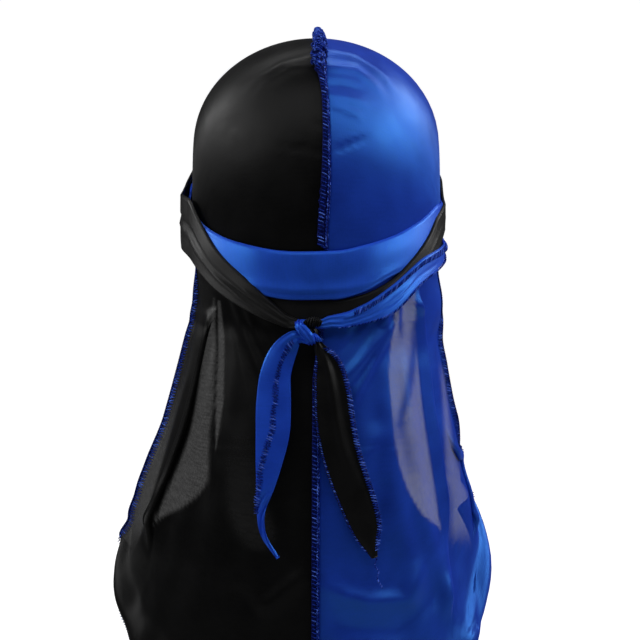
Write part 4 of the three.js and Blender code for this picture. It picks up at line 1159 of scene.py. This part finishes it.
def satin(name, s, seeThrough):
    material, tree, shader = newMaterial(name)
    link = tree.links.new
    setShader(shader, s["shader"])
    uv = makeNode(tree, "ShaderNodeUVMap", {"uv_map": "cloth"})
    weave = makeNode(tree, "ShaderNodeGroup")
    weave.node_tree = weaveGroup
    weave.inputs["Pitch"].default_value = s["pitch"]
    weave.inputs["Streak"].default_value = s["streak"]
    link(uv.outputs[0], weave.inputs["UV"])
    ramp = makeNode(tree, "ShaderNodeValToRGB")
    ramp.color_ramp.elements[0].position, ramp.color_ramp.elements[0].color = 0.3, (*s["deep"], 1)
    ramp.color_ramp.elements[1].position, ramp.color_ramp.elements[1].color = 0.7, (*s["light"], 1)
    link(weave.outputs["Tone"], ramp.inputs[0])
    link(ramp.outputs[0], shader.inputs["Base Color"])
    rough = makeNode(tree, "ShaderNodeMapRange", {"From Min": 0.3, "From Max": 0.7, "To Min": s["rough"][0],
                                                  "To Max": s["rough"][1]})
    link(weave.outputs["Tone"], rough.inputs[0])
    link(rough.outputs[0], shader.inputs["Roughness"])
    bump = makeNode(tree, "ShaderNodeBump", {"Strength": s["bump"], "Distance": 0.0002},
                    Height=weave.outputs["Height"])
    link(bump.outputs[0], shader.inputs["Normal"])
    if s["tilt"]:     # the floats of this satin lie at a slant, which carries its gloss up or down the cloth
        worn = makeNode(tree, "ShaderNodeAttribute", {"attribute_name": "tilt"})
        slant = makeNode(tree, "ShaderNodeVectorMath", {"operation": "SCALE", 0: (0, 0, s["tilt"])},
                         Scale=worn.outputs["Fac"])
        leaned = makeNode(tree, "ShaderNodeVectorMath", {"operation": "ADD"}, n0=bump.outputs[0], n1=slant.outputs[0])
        square = makeNode(tree, "ShaderNodeVectorMath", {"operation": "NORMALIZE"}, n0=leaned.outputs[0])
        link(square.outputs[0], shader.inputs["Normal"])
    across = makeNode(tree, "ShaderNodeTangent", {"direction_type": "UV_MAP", "uv_map": "cloth"})
    link(across.outputs[0], shader.inputs["Tangent"])    # the gloss runs out across the threads
    if seeThrough:
        # alpha from the sheer attribute: real see-through cloth, placed by the window tables as painted light and
        # shade
        sheer = makeNode(tree, "ShaderNodeAttribute", {"attribute_name": "sheer"})
        grain = makeNode(tree, "ShaderNodeMapRange", {"From Min": 0.3, "From Max": 0.7, "To Min": s["holes"][0],
                                                      "To Max": s["holes"][1]})
        link(weave.outputs["Gaps"], grain.inputs[0])
        alpha = makeNode(tree, "ShaderNodeMix", {"data_type": "FLOAT", 2: 1.0}, n0=sheer.outputs["Fac"],
                         n3=grain.outputs[0])
        link(alpha.outputs[0], shader.inputs["Alpha"])
    return material


def thread(name, s):
    material, tree, shader = newMaterial(name)
    link = tree.links.new
    setShader(shader, s["shader"])
    coords = makeNode(tree, "ShaderNodeTexCoord")
    noise = makeNode(tree, "ShaderNodeTexNoise", {"Scale": s["scale"], "Detail": 2.0},
                     Vector=coords.outputs["Object"])
    ramp = makeNode(tree, "ShaderNodeValToRGB")
    ramp.color_ramp.elements[0].position, ramp.color_ramp.elements[0].color = 0.35, (*s["deep"], 1)
    ramp.color_ramp.elements[1].position, ramp.color_ramp.elements[1].color = 0.65, (*s["light"], 1)
    link(noise.outputs["Fac"], ramp.inputs[0])
    # bright colour on loops picked at random: partly random tone, partly painted glints that stand in for the
    # thread's highlights, as its own specular is kept low
    tone = makeNode(tree, "ShaderNodeAttribute", {"attribute_name": "tone"})
    glintFleck = makeNode(tree, "ShaderNodeMapRange", {"From Min": 0.62, "From Max": 1.0}, n0=tone.outputs["Fac"])
    colour = makeNode(tree, "ShaderNodeMix", {"data_type": "RGBA", 7: (*s["glintFleck"], 1)}, n0=glintFleck.outputs[0],
                      n6=ramp.outputs[0])
    link(colour.outputs[2], shader.inputs["Base Color"])
    bump = makeNode(tree, "ShaderNodeBump", {"Strength": 0.5, "Distance": 0.0002}, Height=noise.outputs["Fac"])
    link(bump.outputs[0], shader.inputs["Normal"])
    return material


blackCloth = {
    "deep": (0.0025, 0.0025, 0.0027), "light": (0.0055, 0.0055, 0.0058), "rough": (0.34, 0.56),
    "pitch": 90.0, "streak": 0.5, "bump": 0.3, "holes": (0.75, 0.87), "tilt": 0.0,
    "shader": {"Specular IOR Level": 0.13, "Anisotropic": 0.7, "Sheen Weight": 0.01, "Sheen Roughness": 0.4,
               "Sheen Tint": (0.8, 0.8, 0.85, 1)},
}
blueCloth = {
    "deep": (0.01, 0.03, 0.36), "light": (0.015, 0.052, 0.56), "rough": (0.33, 0.55),
    "pitch": 90.0, "streak": 0.5, "bump": 0.3, "holes": (0.63, 0.75), "tilt": 0.0,
    "shader": {"IOR": 2.0, "Specular IOR Level": 1.0, "Specular Tint": (0.06, 0.34, 1.0, 1), "Anisotropic": 0.7,
               "Sheen Weight": 0.02, "Sheen Roughness": 0.35, "Sheen Tint": (0.25, 0.45, 1.0, 1)},
}
# the glint fleck colour is a painted highlight on random loops; the specular level is nearly off
overlockThread = {
    "deep": (0.004, 0.012, 0.12), "light": (0.018, 0.055, 0.5), "glintFleck": (0.12, 0.25, 1.0), "scale": 900.0,
    "shader": {"Roughness": 0.6, "Specular IOR Level": 0.04},
}

blackPanelSatin = satin("black_panel_satin", blackCloth, True)
bluePanelSatin = satin("blue_panel_satin", blueCloth, True)
blackStrapShader = dict(blackCloth["shader"], **{"Specular IOR Level": 0.2})
blackStrapSatin = satin("black_strap_satin", dict(blackCloth, tilt=0.36, shader=blackStrapShader), False)
# the straps are the same blue satin as the panel, given a brighter base colour: a painted highlight for the bright
# band round the head
blueStrapSatinPaintedHighlight = satin("blue_strap_satin_painted_highlight", dict(blueCloth, tilt=0.36, deep=(0.013, 0.05, 0.54),
                                                light=(0.02, 0.08, 0.8)), False)
blueThread = thread("overlock_thread", overlockThread)
# a darker copy of the same overlock thread for the seam's body and the hem rolls: painted shade for the navy gaps
# between the loops and for the hem seen at a grazing angle
shadedThread = thread("overlock_thread_painted_shade", dict(overlockThread, deep=(0.002, 0.004, 0.045),
                                                   light=(0.006, 0.012, 0.13), glintFleck=(0.01, 0.016, 0.12)))

for piece, material, slot in [
        (leftPanel, blackPanelSatin, "black_satin"), (rightPanel, bluePanelSatin, "blue_satin"),
        (blackStrap, blackStrapSatin, "black_satin"), (blueStrap, blueStrapSatinPaintedHighlight, "blue_satin"),
        (seamRidge, shadedThread, "blue_thread"), (leftHem, shadedThread, "blue_thread"),
        (rightHem, shadedThread, "blue_thread"), (seamStitches, blueThread, "blue_thread"),
        (leftHemStitches, blueThread, "blue_thread"), (rightHemStitches, blueThread, "blue_thread"),
        (blackBunch, blackStrapSatin, "black_satin"), (blueBunch, blueStrapSatinPaintedHighlight, "blue_satin"),
        (blueStitches, blueThread, "blue_thread"), (blackStitches, blueThread, "blue_thread")]:
    piece.data.materials.clear()
    piece.data.materials.append(material)
    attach(piece, "root")
print("materials made")

# floor, light and background

studio = {
    "floorDrop": 620.0, "floorSize": 900.0,      # the drop in millimetres, the size in metres
    "seenStrength": 1.0,                         # what shows behind the cloth and through it
    "fillStrength": 0.04,                        # what the same backdrop throws on the cloth
    # name, place, size, watts, aimed at; millimetres
    "lights": [
        ("top", (0, -900, 1500), (2400, 1200), 13, (0, -60, -90)),
        ("left", (-1500, 150, 640), (2400, 420), 20, (0, -60, -110)),
        ("right", (1500, 250, 760), (2400, 420), 25, (0, -60, -110)),
        ("front", (0, 900, 1500), (1400, 500), 7, (0, 60, -120)),
    ],
}


def seenOrFill(tree, s):
    # bright where the camera sees it, directly or through the sheer cloth, and soft as a light
    path = makeNode(tree, "ShaderNodeLightPath")
    mix = makeNode(tree, "ShaderNodeMapRange", {"To Min": s["fillStrength"], "To Max": s["seenStrength"]},
                   n0=path.outputs["Is Camera Ray"])
    return mix.outputs[0]


def makeStudio(s):
    bpy.ops.mesh.primitive_plane_add(size=s["floorSize"], location=(0, 20, -s["floorDrop"] * mm))
    floor = bpy.context.object
    floor.name = "floor"
    material, tree, shader = newMaterial("pale_floor")
    setShader(shader, {"Base Color": (0.3, 0.3, 0.3, 1), "Roughness": 0.9, "Specular IOR Level": 0.1,
                       "Emission Color": (1, 1, 1, 1)})
    tree.links.new(seenOrFill(tree, s), shader.inputs["Emission Strength"])
    floor.data.materials.append(material)
    for name, place, size, watts, target in s["lights"]:
        bpy.ops.object.light_add(type="AREA", location=[v * mm for v in place])
        lamp = bpy.context.object
        lamp.name = name
        lamp.data.shape = "RECTANGLE"
        lamp.data.size, lamp.data.size_y = size[0] * mm, size[1] * mm
        lamp.data.energy = watts
        way = [(t - p) * mm for t, p in zip(target, place)]
        lamp.rotation_euler = mathutils.Vector(way).to_track_quat("-Z", "Y").to_euler()
    world = bpy.data.worlds.new("studio")
    world.use_nodes = True
    sky = world.node_tree.nodes["Background"]
    sky.inputs[0].default_value = (1, 1, 1, 1)
    world.node_tree.links.new(seenOrFill(world.node_tree, s), sky.inputs[1])
    bpy.context.scene.world = world
    bpy.context.scene.view_settings.view_transform = "Standard"


makeStudio(studio)

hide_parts("left_panel")
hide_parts("right_panel")
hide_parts("black_strap")
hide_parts("blue_strap")
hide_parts("centre_seam")
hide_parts("left_hem")
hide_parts("right_hem")
